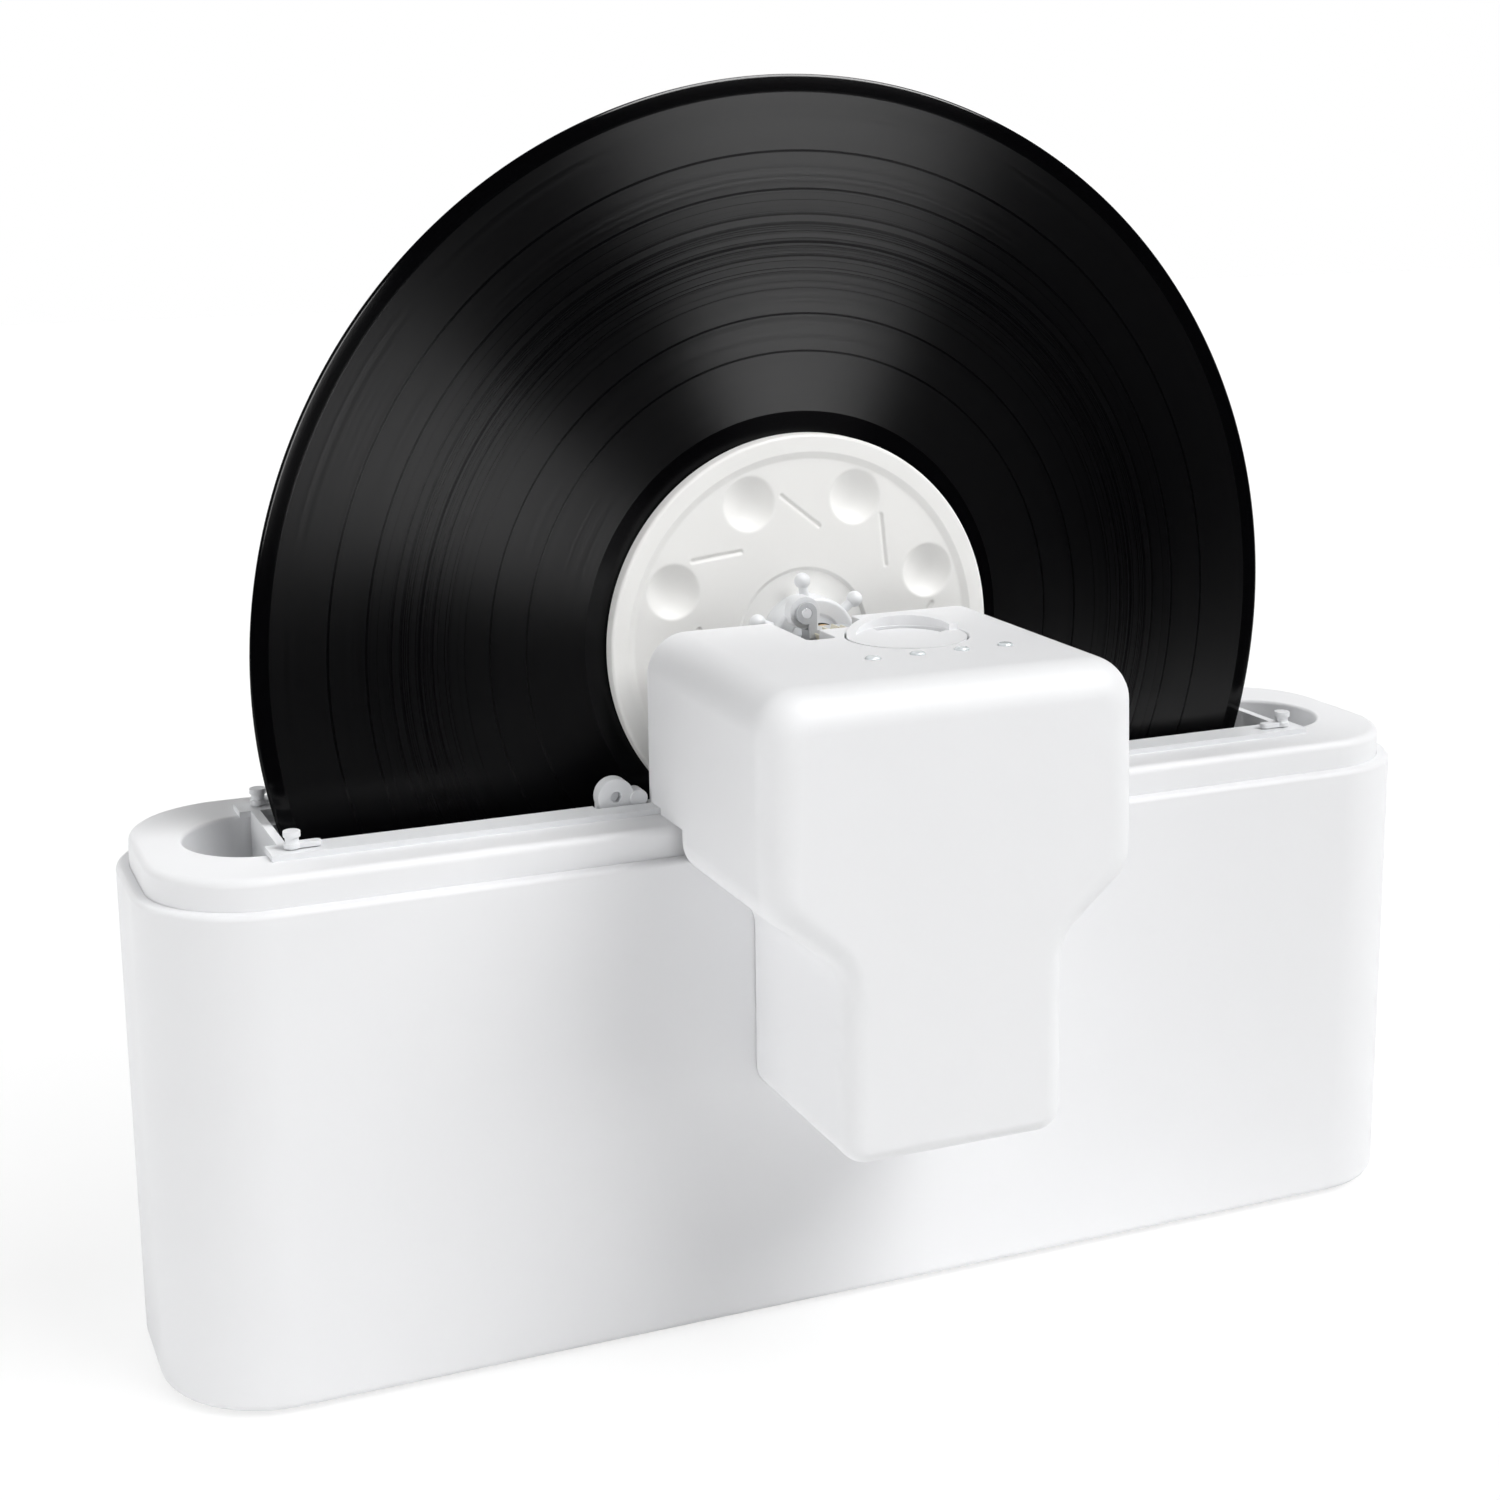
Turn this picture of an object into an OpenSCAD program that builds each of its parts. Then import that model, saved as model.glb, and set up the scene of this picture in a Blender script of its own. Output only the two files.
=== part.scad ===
// Record cleaning machine: a bath in a long casing, a drive head that stands on its rim,
// and a clamped record that turns edge-down in the bath between two brush pads.
// Millimetres. X runs along the casing, -Y is the front, Z is up.
// The origin is the centre of the underside of the base pad.

/* [Casing] */
// Length of the casing
casing_l = 370.7; // [368:0.1:460]
// Width of the casing, front to back
casing_w = 83.2; // [81:0.1:96]
// Corner radius of the casing, seen from above
casing_r = 30.3; // [22:0.1:36]
// Height of the ledge where the casing ends
ledge_z = 131.6; // [124:0.1:140]
// Thickness of the casing's wall
casing_wall = 3.2; // [2.4:0.1:3.3]
// Thickness of the casing's floor
casing_floor = 3; // [2:0.1:5]
// Thickness of the non-slip base pad
pad_t = 2.4; // [1.6:0.1:4]
// Part of the pad that shows below the casing
pad_show = 1.2; // [0.6:0.1:1.4]
// Inset of the pad from the casing's sides
pad_inset = 5; // [3:0.5:12]

/* [Basin] */
// Inset of the raised collar from the casing's sides
collar_inset = 3.5; // [3.4:0.1:6]
// Height of the collar above the ledge
collar_h = 8; // [5:0.1:12]
// Depth of the collar's lip inside the casing
collar_lip = 12; // [8:0.5:16]
// Thickness of the basin's deck
deck_t = 2.5; // [2:0.1:3.5]
// Distance from the well's end to the casing's end
well_end = 15.35; // [12:0.05:16.5]
// Half width of the well
well_half_w = 18.8; // [18:0.1:21]
// Height of the well's floor
well_floor_z = 20; // [12:0.5:24]
// Thickness of the well's wall
well_wall = 2.2; // [1.6:0.1:3]

/* [Brush frame] */
// Half width of the slot between the rails
slot_half_w = 12; // [11.2:0.1:13]
// Gap between the record's edge and an end wall, at the deck
chord_gap = 1.3; // [0.9:0.1:2.5]
// Thickness of the end walls
end_wall_t = 2.4; // [1.8:0.1:3.5]
// Height of the flange above the deck
flange_t = 1.6; // [1.2:0.1:2.2]
// Half width over the flanges
flange_half_w = 25.8; // [24:0.1:28]
// Depth of an end wall below the deck
end_wall_h = 44; // [30:1:70]
// Clearance between the frame and the well
frame_gap = 0.4; // [0.3:0.05:0.8]
// Half length of the brush pads
brush_half_l = 38; // [28:1:46]
// Gap between a brush pad and the record
brush_gap = 0.35; // [0.3:0.05:0.8]

/* [Record] */
// Radius of the record
record_r = 150.8; // [149:0.1:151.4]
// Thickness of the record in its grooves
record_t = 1.2; // [1:0.1:2]
// Radius of the record's centre hole
record_hole_r = 3.65; // [3.6:0.01:3.8]
// Height of the spindle's axis
axis_z = 178.5; // [177:0.1:181]

/* [Label discs] */
// Radius of the discs that seal the label
disc_r = 56; // [52:0.5:60]
// Distance from the record's middle to a disc's outer face
disc_face_y = 6; // [5.4:0.1:8]
// Radius of the pitch circle of the finger pockets
pocket_pitch_r = 41; // [36:0.5:44]
// Number of finger pockets in a disc
pocket_count = 8; // [4:1:10]
// Radius of a finger pocket at the disc's face
pocket_r = 7.5; // [5:0.1:8.5]
// Depth of a finger pocket
pocket_depth = 3; // [2:0.1:3.2]

/* [Drive head] */
// Half width of the head
head_half_w = 50.5; // [48:0.5:56]
// Distance of the head's back face in front of the record
head_back = 18; // [17.6:0.1:19]
// Distance of the head's front face in front of the record
head_front = 98; // [94:0.5:110]
// Height of the head's top above the spindle's axis
head_crown = 7.5; // [7:0.1:12]
// Half width of the stem
stem_half_w = 30.6; // [28:0.1:36]
// Height of the stem's underside
stem_z = 65.7; // [50:0.1:80]
// Thickness of the head's wall
head_wall = 2.8; // [2.2:0.1:3]
// Radius of the head's upright front edges
head_edge_r = 8; // [4:0.5:12]
// Radius of the head's top front edge
head_top_r = 10; // [6:0.5:14]
// Gap between the head's back cover and its shell
cover_gap = 0.3; // [0.2:0.05:0.5]

/* [Drive] */
// Module of the gears
gear_module = 0.8; // [0.7:0.05:0.85]
// Teeth on the spindle's gear
spindle_teeth = 16; // [16:4:20]
// Teeth on the drive gear
drive_teeth = 32; // [32:4:32]
// Radius of the spindle's shaft in its bush
journal_r = 4; // [3.8:0.1:4.2]
// Running clearance of a shaft in its hole
run_gap = 0.05; // [0.03:0.01:0.08]
// Radius of the motor
motor_r = 14; // [11:0.5:14.5]
// Length of the motor
motor_l = 32; // [24:1:36]

/* [Controls] */
// Radius of the dial
dial_r = 15.6; // [12:0.1:16]
// Height of the dial's finger ridge above the head
ridge_h = 3.2; // [2:0.1:5]
// Number of status lamps
lamp_count = 4; // [3:1:5]
// Distance between status lamps
lamp_pitch = 12.4; // [9:0.1:13]
// Radius of a status lamp
lamp_r = 1.9; // [1.2:0.1:2.5]

/* [Latches] */
// Radius of the eye of a head latch
latch_eye_r = 5; // [4:0.1:5]
// Radius of a latch's pivot hole
latch_hole_r = 1.5; // [1.2:0.1:1.8]
// Distance from the head's side to a head latch's pivot
latch_offset = 9.5; // [9.5:0.5:15]
// Distance from a flange's end to a corner latch's pivot
corner_inset = 5.9; // [5:0.1:20]

/* [Hidden] */
$fn = 96;
eps = 0.01;
seat_gap = 0.3;

// Heights of the tank
deck_z = ledge_z + collar_h;
shell_z = pad_show;
seat_z = ledge_z - collar_lip;
seat_ring = 4;
well_half_l = casing_l / 2 - well_end;

// Brush frame
frame_y = well_half_w - frame_gap;
frame_half_l = sqrt(pow(record_r, 2) - pow(axis_z - deck_z, 2)) + chord_gap;
shelf_z = deck_z - 1.6;
shelf_t = 1.8;
rail_lip_h = 8;
rail_wall = 1.8;
flange_z = deck_z + flange_t;
flange_end = 3;
flange_half_l = frame_half_l + end_wall_t + flange_end;
stud_r = 1.2;
stud_h = 3.6;

// Brush pads and their carriers
record_bottom = axis_z - record_r;
brush_top = axis_z - disc_r - 6;
brush_bottom = record_bottom + 2;
pad_back_y = 8.6;
carrier_t = 2;
carrier_hook_t = 1.4;
carrier_rim = 3;
carrier_half_l = brush_half_l + 4;

// Drive head
head_y = -head_back;
head_front_y = -head_front;
head_top = axis_z + head_crown;
stem_y = -(casing_w / 2 + seat_gap);
shoulder_top = deck_z - 7.6;
shoulder_bottom = shoulder_top - 16;
stem_edge_r = 6;
foot_top = deck_z + head_wall;

// Spindle: bush, block and lever, and the notch that they drop into
bush_wall = 1;
bush_r = journal_r + bush_wall;
bush_flange = 0.8;
fixed_gap = 0.02;
block_half_w = bush_r + 1.4;
block_reach = bush_r + 0.7;
seat_floor = axis_z - block_reach;
block_top = axis_z + block_reach;
block_y = head_y - 0.4;
block_t = 5.1;
lever_r = 4.35;
lever_x = -7;
lever_z = block_top + seat_gap + lever_r + 0.05;
pin_ear = 0.9;
notch_left = lever_x - 8;
notch_right = block_half_w + 2.1;
notch_y = head_y - 13;
notch_step = 8;
pocket_right = lever_x;
pocket_y = notch_y - 11;

// Drive train
spindle_gear_r = gear_module * spindle_teeth / 2;
drive_gear_r = gear_module * drive_teeth / 2;
pressure_angle = 20;
tooth_slack = 0.3;
gear_y = block_y - block_t - 0.5;
gear_w = 5;
drive_z = axis_z - spindle_gear_r - drive_gear_r;
shaft_end_y = gear_y - gear_w - 1.5;
motor_plate_y = shaft_end_y - 0.5;
motor_plate_t = 2;
motor_plate_half_w = 20;
motor_foot = 12;
motor_screw_x = 8.5;
gearbox_l = 22;
gearbox_r = 12.5;
gearbox_y = motor_plate_y - motor_plate_t;
motor_y = gearbox_y - gearbox_l;
motor_shaft_r = 2.5;
motor_boss_r = 5;
motor_boss_l = 2.5;
terminal_x = 8;
terminal_l = 4;

// Cradle, screws and posts
cradle_half_w = 22;
cradle_screw_r = 1.1;
cradle_screw_head_r = 2;
cradle_screw_head_t = 1.3;
cradle_screw_x = cradle_half_w - 3.5;
cradle_screw_z = drive_z + 10;
post_r = 3.6;
post_inset = 9.5;
screw_r = 1.5;
screw_head_r = 2.8;
screw_head_t = 1.8;
screw_hole = 0.15;
screw_sink = 0.6;
upper_screw_l = 14;
lower_screw_l = 12;
motor_screw_l = 7;
post_x = head_half_w - post_inset;
post_upper_z = deck_z + 10.5;
post_top_z = head_top - 12;
post_lower_z = stem_z + 14;
post_lower_x = stem_half_w - post_inset;
upper_posts = [[post_x, post_upper_z], [-post_x, post_upper_z],
               [post_x, post_top_z], [-post_x, post_top_z]];
lower_posts = [[post_lower_x, post_lower_z], [-post_lower_x, post_lower_z]];

// Locating dowels
dowel_x = 38;
dowel_r = 2;
dowel_l = 12;
dowel_head = 1;
dowel_y = -(flange_half_w + cover_gap + dowel_r + 2.5);

// Dial, its switch, the control board, the lamps and the power inlet
dial_x = pocket_right + dial_r + 1.9;
dial_y = notch_y - dial_r - 0.9;
dial_seat = 4.6;
dial_stem_r = 3;
dial_rim = 2.6;
switch_half_w = 6;
board_t = 1.6;
board_l = 46;
board_half_w = post_x - post_r - 1.4;
board_z = drive_z + motor_r + 1.1;
board_y = notch_y - 13;
lamp_x = dial_x - 1.2;
lamp_y = dial_y - dial_r - 5.4;
inlet_y = head_front_y + 23;
inlet_r = 4.2;
inlet_bore_r = 2.75;
inlet_half_w = 6;
inlet_h = 11;

// Star nut
star_r = 12.3;
star_t = 8.9;
star_rim = 1;
star_peg_r = 1.3;
star_ball_r = 2.2;
star_reach = 16.8;
star_turn = 38;
peg_count = 6;
hub_floor_y = -4.6;
peg_y = hub_floor_y - 5.3;

// Label discs, their seals and the clamp through the record
bore_r = record_hole_r - 0.15;
disc_back = 1.3;
disc_dish = 0.9;
seal_in = disc_r - 6;
seal_out = disc_r - 1.6;
seal_back = 2.5;
seal_gap = 0.2;
shoulder_r = 7;
shoulder_y = 2.6;
hub_recess_r = 18.5;
hub_r = 14;
hub_round = 1.5;
insert_r = 6;
shaft_back_y = 14;
hub_back_y = 16;
swirl_outer_r = 40;
swirl_inner_r = 31;
swirl_turn = 9;
swirl_w = 1.1;

// Record: its label and the bead at its edge
label_r = 49.5;
label_raise = 0.1;
bead_w = 4;
bead_raise = 0.15;

// Latches
latch_x = head_half_w + latch_offset;
latch_z = deck_z + 3.7;
latch_y = head_y + 3.8;
latch_t = 4.2;
latch_arm = 6.2;
latch_knob_r = 2.4;
ear_t = 1.8;
ear_half_w = 4;
latch_room = 1.3;
corner_x = flange_half_l - corner_inset;
corner_y = flange_half_w - 4.2;
corner_arm = 6;
corner_knob_r = 2.2;

// Rounded rectangle, centred
module plan(l, w, r) {
    square([l - 2 * r, w], center = true);
    square([l, w - 2 * r], center = true);
    for (sx = [-1, 1], sy = [-1, 1])
        translate([sx * (l / 2 - r), sy * (w / 2 - r)]) circle(r);
}

// Outline of the casing, set in by a distance
module casing_plan(inset) {
    plan(casing_l - 2 * inset, casing_w - 2 * inset, casing_r - inset);
}

// Long outline with round ends
module stadium(half_l, half_w) {
    square([2 * (half_l - half_w), 2 * half_w], center = true);
    for (s = [-1, 1]) translate([s * (half_l - half_w), 0]) circle(half_w);
}

// Box between two corners
module box(a, b) {
    translate(a) cube(b - a);
}

// Cylinder along Y from y0 to y1, with y0 below y1
module rod_y(r, y0, y1, x = 0, z = 0) {
    translate([x, y0, z]) rotate([-90, 0, 0]) cylinder(h = y1 - y0, r = r);
}

// Turns a profile drawn as [radius, y] about the spindle's axis
module turn_y() {
    translate([0, 0, axis_z]) rotate([-90, 0, 0]) rotate_extrude() children();
}

module base_pad() {
    color([0.24, 0.24, 0.25])
    linear_extrude(pad_t) casing_plan(pad_inset);
}

// Outer casing: floor, tall wall and the seat for the basin's collar
module outer_casing() {
    cavity_z = shell_z + casing_floor;
    color([0.94, 0.94, 0.95])
    difference() {
        translate([0, 0, shell_z]) linear_extrude(ledge_z - shell_z) casing_plan(0);
        translate([0, 0, cavity_z])
            linear_extrude(seat_z - seat_ring - cavity_z) casing_plan(casing_wall);
        translate([0, 0, seat_z - seat_ring - eps])
            linear_extrude(seat_ring + 2 * eps) casing_plan(casing_wall + seat_ring);
        translate([0, 0, seat_z]) linear_extrude(collar_lip + 1) casing_plan(casing_wall);
        translate([0, 0, shell_z - 1]) linear_extrude(1 + pad_t - pad_show)
            casing_plan(pad_inset - seat_gap);
    }
}

// Basin: collar, flat deck and the long well that holds the fluid
module inner_basin() {
    color([0.94, 0.94, 0.95])
    difference() {
        union() {
            difference() {
                translate([0, 0, seat_z]) linear_extrude(deck_z - seat_z)
                    casing_plan(collar_inset);
                translate([0, 0, seat_z - 1]) linear_extrude(deck_z - deck_t - seat_z + 1)
                    casing_plan(collar_inset + deck_t);
            }
            translate([0, 0, well_floor_z - well_wall])
                linear_extrude(deck_z - well_floor_z + well_wall - eps)
                    stadium(well_half_l + well_wall, well_half_w + well_wall);
        }
        translate([0, 0, well_floor_z]) linear_extrude(deck_z - well_floor_z + 1)
            stadium(well_half_l, well_half_w);
        for (s = [-1, 1]) translate([s * dowel_x, dowel_y, deck_z - deck_t - 1])
            cylinder(h = deck_t + 2, r = dowel_r + 2 * run_gap);
    }
}

// One side of the brush frame, on +Y
module rail() {
    box([-flange_half_l, frame_y - rail_wall, deck_z], [flange_half_l, flange_half_w, flange_z]);
    box([-frame_half_l, frame_y - rail_wall, shelf_z - rail_lip_h], [frame_half_l, frame_y, flange_z]);
    box([-frame_half_l, slot_half_w, shelf_z - shelf_t], [frame_half_l, frame_y, shelf_z]);
    box([-frame_half_l, slot_half_w, shelf_z - rail_lip_h],
        [frame_half_l, slot_half_w + rail_wall, shelf_z]);
}

// Stud on the flange that a corner latch turns on, in the +X +Y corner
module corner_stud() {
    translate([corner_x, corner_y, flange_z - eps]) cylinder(h = stud_h, r = stud_r);
}

// Brush frame: two rails, two end walls and the studs of the corner latches
module brush_frame() {
    color([0.9, 0.91, 0.92])
    difference() {
        union() {
            for (s = [0, 1]) mirror([0, s, 0]) rail();
            for (s = [0, 1]) mirror([s, 0, 0])
                box([frame_half_l, -frame_y, deck_z - end_wall_h],
                    [frame_half_l + end_wall_t, frame_y, flange_z]);
            for (sx = [0, 1], sy = [0, 1]) mirror([sx, 0, 0]) mirror([0, sy, 0]) corner_stud();
        }
        for (s = [0, 1]) mirror([s, 0, 0])
            box([latch_x - latch_arm - 2.8, latch_y - latch_t - latch_room, shelf_z],
                [latch_x + latch_eye_r + 1, 0, flange_z + 1]);
    }
}

// Plate that hangs a brush pad from a rail, on +Y
module pad_carrier() {
    hook_top = shelf_z + carrier_hook_t;
    box([-carrier_half_l, pad_back_y, brush_bottom - carrier_rim],
        [carrier_half_l, pad_back_y + carrier_t, hook_top]);
    box([-carrier_half_l, pad_back_y, shelf_z],
        [carrier_half_l, frame_y - rail_wall - frame_gap, hook_top]);
}

module front_pad_carrier() {
    color([0.88, 0.89, 0.9]) mirror([0, 1, 0]) pad_carrier();
}

module rear_pad_carrier() {
    color([0.88, 0.89, 0.9]) pad_carrier();
}

// Plush pad between a carrier and the record, on +Y
module brush_pad() {
    box([-brush_half_l, record_t / 2 + brush_gap, brush_bottom],
        [brush_half_l, pad_back_y, brush_top]);
}

module front_brush_pad() {
    color([0.3, 0.32, 0.36]) mirror([0, 1, 0]) brush_pad();
}

module rear_brush_pad() {
    color([0.3, 0.32, 0.36]) brush_pad();
}

// Ear and pivot pin of a head latch, on +X
module latch_bracket() {
    ear_y = latch_y + seat_gap;
    box([latch_x - ear_half_w, ear_y, shelf_z], [latch_x + ear_half_w, ear_y + ear_t, latch_z]);
    rod_y(ear_half_w, ear_y, ear_y + ear_t, latch_x, latch_z);
    rod_y(latch_hole_r - run_gap, latch_y - latch_t + 1.8, ear_y + eps, latch_x, latch_z);
}

module left_latch_bracket() {
    color([0.9, 0.9, 0.91]) mirror([1, 0, 0]) latch_bracket();
}

module right_latch_bracket() {
    color([0.9, 0.9, 0.91]) latch_bracket();
}

// Latch lever: an eye on the pivot, an arm towards the head and a grip, on +X
module head_latch() {
    knob_x = latch_x - latch_arm;
    knob_z = latch_z - 0.8;
    difference() {
        union() {
            rod_y(latch_eye_r, latch_y - latch_t, latch_y, latch_x, latch_z);
            box([knob_x, latch_y - latch_t + 1, knob_z - 1.3],
                [latch_x, latch_y - 0.8, knob_z + 1.3]);
            rod_y(latch_knob_r, latch_y - latch_t - 0.8, latch_y, knob_x, knob_z);
        }
        rod_y(latch_hole_r, latch_y - latch_t - 1, latch_y + 1, latch_x, latch_z);
    }
}

module left_head_latch() {
    color([0.95, 0.95, 0.95]) mirror([1, 0, 0]) head_latch();
}

module right_head_latch() {
    color([0.95, 0.95, 0.95]) head_latch();
}

// Turn latch on a stud of the frame, in the +X +Y corner
module corner_latch() {
    tab_t = 1.4;
    tab_half_w = 1.3;
    translate([corner_x, corner_y, flange_z + seat_gap])
    difference() {
        union() {
            cylinder(h = tab_t, r = corner_knob_r - 0.1);
            translate([-corner_arm, -tab_half_w, 0]) cube([corner_arm, 2 * tab_half_w, tab_t]);
            translate([-corner_arm, 0, 0]) cylinder(h = tab_t, r = tab_half_w);
            cylinder(h = stud_h + 0.6, r = stud_r + 0.55);
            translate([0, 0, stud_h - 0.7]) cylinder(h = 1.5, r = corner_knob_r);
        }
        translate([0, 0, -1]) cylinder(h = stud_h + 1, r = stud_r + run_gap);
    }
}

module front_left_corner_latch() {
    color([0.9, 0.9, 0.91]) mirror([1, 0, 0]) mirror([0, 1, 0]) corner_latch();
}

module front_right_corner_latch() {
    color([0.9, 0.9, 0.91]) mirror([0, 1, 0]) corner_latch();
}

module rear_left_corner_latch() {
    color([0.9, 0.9, 0.91]) mirror([1, 0, 0]) corner_latch();
}

module rear_right_corner_latch() {
    color([0.9, 0.9, 0.91]) corner_latch();
}

// Plan of the head between its front and a back line, with round front corners
module head_plan(half_w, front, back, r) {
    difference() {
        translate([-half_w, front]) square([2 * half_w, back - front]);
        for (s = [-1, 1]) translate([s * half_w, front]) square(2 * r, center = true);
    }
    for (s = [-1, 1]) translate([s * (half_w - r), front + r]) circle(r);
}

// Solid block of the head, set in by t on every side but the back
module head_block(t, back) {
    wide = head_half_w - t;
    narrow = stem_half_w - t;
    front = head_front_y + t;
    wide_r = head_edge_r - t;
    narrow_r = stem_edge_r - t;
    low = shoulder_top + t;
    high = head_top - t;
    stem_low = stem_z + t;
    stem_high = shoulder_bottom + t / 2;
    round_r = head_top_r - t;
    intersection() {
        union() {
            translate([0, 0, low]) linear_extrude(high - low) head_plan(wide, front, back, wide_r);
            hull() {
                translate([0, 0, low]) linear_extrude(eps) head_plan(wide, front, back, wide_r, $fn = 32);
                translate([0, 0, stem_high]) linear_extrude(eps)
                    head_plan(narrow, front, back, narrow_r, $fn = 32);
            }
            translate([0, 0, stem_low]) linear_extrude(stem_high - stem_low + eps)
                head_plan(narrow, front, back, narrow_r);
        }
        union() {
            box([-wide - 1, front - 1, stem_low - 1], [wide + 1, back + 1, high - round_r]);
            box([-wide - 1, front + round_r, high - round_r - eps], [wide + 1, back + 1, high + 1]);
            translate([-wide - 1, front + round_r, high - round_r]) rotate([0, 90, 0])
                cylinder(h = 2 * wide + 2, r = round_r);
        }
    }
}

// The space that the tank fills behind and below the head
module tank_room(gap) {
    box([-head_half_w - 1, stem_y - gap, stem_z - 20], [head_half_w + 1, 0, deck_z + gap]);
    box([-head_half_w - 1, -flange_half_w - cover_gap, deck_z - 1], [head_half_w + 1, 0, flange_z + gap]);
}

// Opening in the top and back of the head where the spindle drops in
module spindle_notch() {
    low = seat_floor - 1.5;
    box([notch_left, notch_y, low], [notch_right, 0, head_top + 1]);
    box([notch_left, pocket_y, low + notch_step], [pocket_right, notch_y + eps, head_top + 1]);
}

// Screw posts that run from the front wall to the back cover
module posts(r, front) {
    for (p = upper_posts) rod_y(r, front, head_y - head_wall - cover_gap, p[0], p[1]);
    for (p = lower_posts) rod_y(r, front, stem_y - head_wall - cover_gap, p[0], p[1]);
}

module head_shell() {
    inner_front = head_front_y + head_wall;
    color([0.95, 0.95, 0.96])
    difference() {
        union() {
            difference() {
                head_block(0, head_y);
                head_block(head_wall, 1);
                tank_room(0);
            }
            posts(post_r, inner_front - eps);
        }
        posts(screw_r + run_gap, inner_front + 2 * post_r);
        spindle_notch();
        translate([dial_x, dial_y, head_top - head_wall - 1]) cylinder(h = head_wall + 2, r = dial_r + 0.5);
        for (i = [0:lamp_count - 1])
            translate([lamp_x + (i - (lamp_count - 1) / 2) * lamp_pitch, lamp_y, head_top - head_wall - 1])
                cylinder(h = head_wall + 2, r = lamp_r + 0.15);
        translate([0, inlet_y, stem_z - 1]) cylinder(h = head_wall + 2, r = inlet_r + 0.2);
    }
}

// Back cover: upright plate behind the cradle, foot on the deck, plate behind the stem
module head_back_cover() {
    gap = head_wall + cover_gap;
    wide = head_half_w - gap;
    narrow = stem_half_w - gap;
    stem_inner_y = stem_y - head_wall;
    color([0.93, 0.93, 0.94])
    difference() {
        union() {
            box([-wide, head_y - head_wall, deck_z], [wide, head_y, head_top - gap]);
            box([-wide, stem_inner_y, deck_z], [wide, head_y, foot_top]);
            translate([0, stem_y, 0]) rotate([90, 0, 0]) linear_extrude(head_wall)
                polygon([[-wide, foot_top], [-wide, shoulder_top + gap],
                         [-narrow, shoulder_bottom + gap / 2], [-narrow, stem_z + gap],
                         [narrow, stem_z + gap], [narrow, shoulder_bottom + gap / 2],
                         [wide, shoulder_top + gap], [wide, foot_top]]);
        }
        tank_room(0);
        spindle_notch();
        for (p = upper_posts)
            rod_y(screw_r + screw_hole, head_y - head_wall - 1, head_y + 1, p[0], p[1]);
        for (p = lower_posts) {
            rod_y(screw_r + screw_hole, stem_inner_y - 1, stem_y + 1, p[0], p[1]);
            rod_y(screw_head_r + seat_gap, stem_inner_y + screw_sink, stem_y + 1, p[0], p[1]);
        }
        for (s = [-1, 1])
            rod_y(cradle_screw_r + run_gap, head_y - head_wall - 1, head_y + 1,
                  s * cradle_screw_x, cradle_screw_z);
        for (s = [-1, 1]) translate([s * dowel_x, dowel_y, deck_z - 1])
            cylinder(h = head_wall + 2, r = dowel_r + run_gap);
    }
}

// Saddle that the bearing block drops into
module spindle_cradle() {
    half = block_half_w + seat_gap;
    front = gear_y + 0.4;
    color([0.8, 0.81, 0.83])
    difference() {
        box([-cradle_half_w, front, drive_z + 6],
            [cradle_half_w, head_y - head_wall, head_top - head_wall - 2]);
        box([-half, front - 1, seat_floor], [half, 0, head_top]);
        box([notch_left, front - 1, axis_z + 1], [notch_right, 0, head_top]);
        for (s = [-1, 1])
            rod_y(cradle_screw_r + run_gap, front - 1, 0, s * cradle_screw_x, cradle_screw_z);
    }
}

module motor_plate() {
    color([0.72, 0.73, 0.75])
    difference() {
        union() {
            box([-motor_plate_half_w, gearbox_y, foot_top],
                [motor_plate_half_w, motor_plate_y, drive_z + gearbox_r]);
            box([-motor_plate_half_w, motor_plate_y - motor_foot, foot_top],
                [motor_plate_half_w, motor_plate_y, foot_top + motor_plate_t]);
        }
        rod_y(motor_shaft_r + 1.5, gearbox_y - 1, motor_plate_y + 1, 0, drive_z);
        for (s = [-1, 1])
            rod_y(screw_r + run_gap, gearbox_y - 1, motor_plate_y + 1, s * motor_screw_x, drive_z);
    }
}

// Gearbox with a flat flange against the motor plate
module gearbox() {
    color([0.62, 0.63, 0.65])
    difference() {
        union() {
            rod_y(gearbox_r, gearbox_y - gearbox_l, gearbox_y, 0, drive_z);
            rod_y(gearbox_r + 0.3, gearbox_y - 3, gearbox_y - 1, 0, drive_z);
        }
        rod_y(motor_shaft_r + run_gap, gearbox_y - 12, gearbox_y + 1, 0, drive_z);
        for (s = [-1, 1])
            rod_y(screw_r + run_gap, gearbox_y - 6, gearbox_y + 1, s * motor_screw_x, drive_z);
    }
}

module motor() {
    motor_end = motor_y - motor_l;
    color([0.5, 0.51, 0.53])
    union() {
        rod_y(motor_r, motor_end, motor_y, 0, drive_z);
        rod_y(motor_boss_r, motor_end - motor_boss_l, motor_end + eps, 0, drive_z);
        for (s = [-1, 1])
            box([s * terminal_x - 1.5, motor_end - terminal_l, drive_z - 0.4],
                [s * terminal_x + 1.5, motor_end + eps, drive_z + 0.4]);
    }
}

// Screw along Y with its head at y, pointing to the front
module screw_front(x, y, z, l) {
    rod_y(screw_r, y - l, y + eps, x, z);
    rod_y(screw_head_r, y, y + screw_head_t, x, z);
}

module motor_screws() {
    color([0.75, 0.75, 0.77])
    for (s = [-1, 1]) screw_front(s * motor_screw_x, motor_plate_y, drive_z, motor_screw_l);
}

module cradle_screws() {
    color([0.75, 0.75, 0.77])
    for (s = [-1, 1]) {
        rod_y(cradle_screw_r, head_y - 5, head_y + eps, s * cradle_screw_x, cradle_screw_z);
        rod_y(cradle_screw_head_r, head_y, head_y + cradle_screw_head_t,
              s * cradle_screw_x, cradle_screw_z);
    }
}

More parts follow.
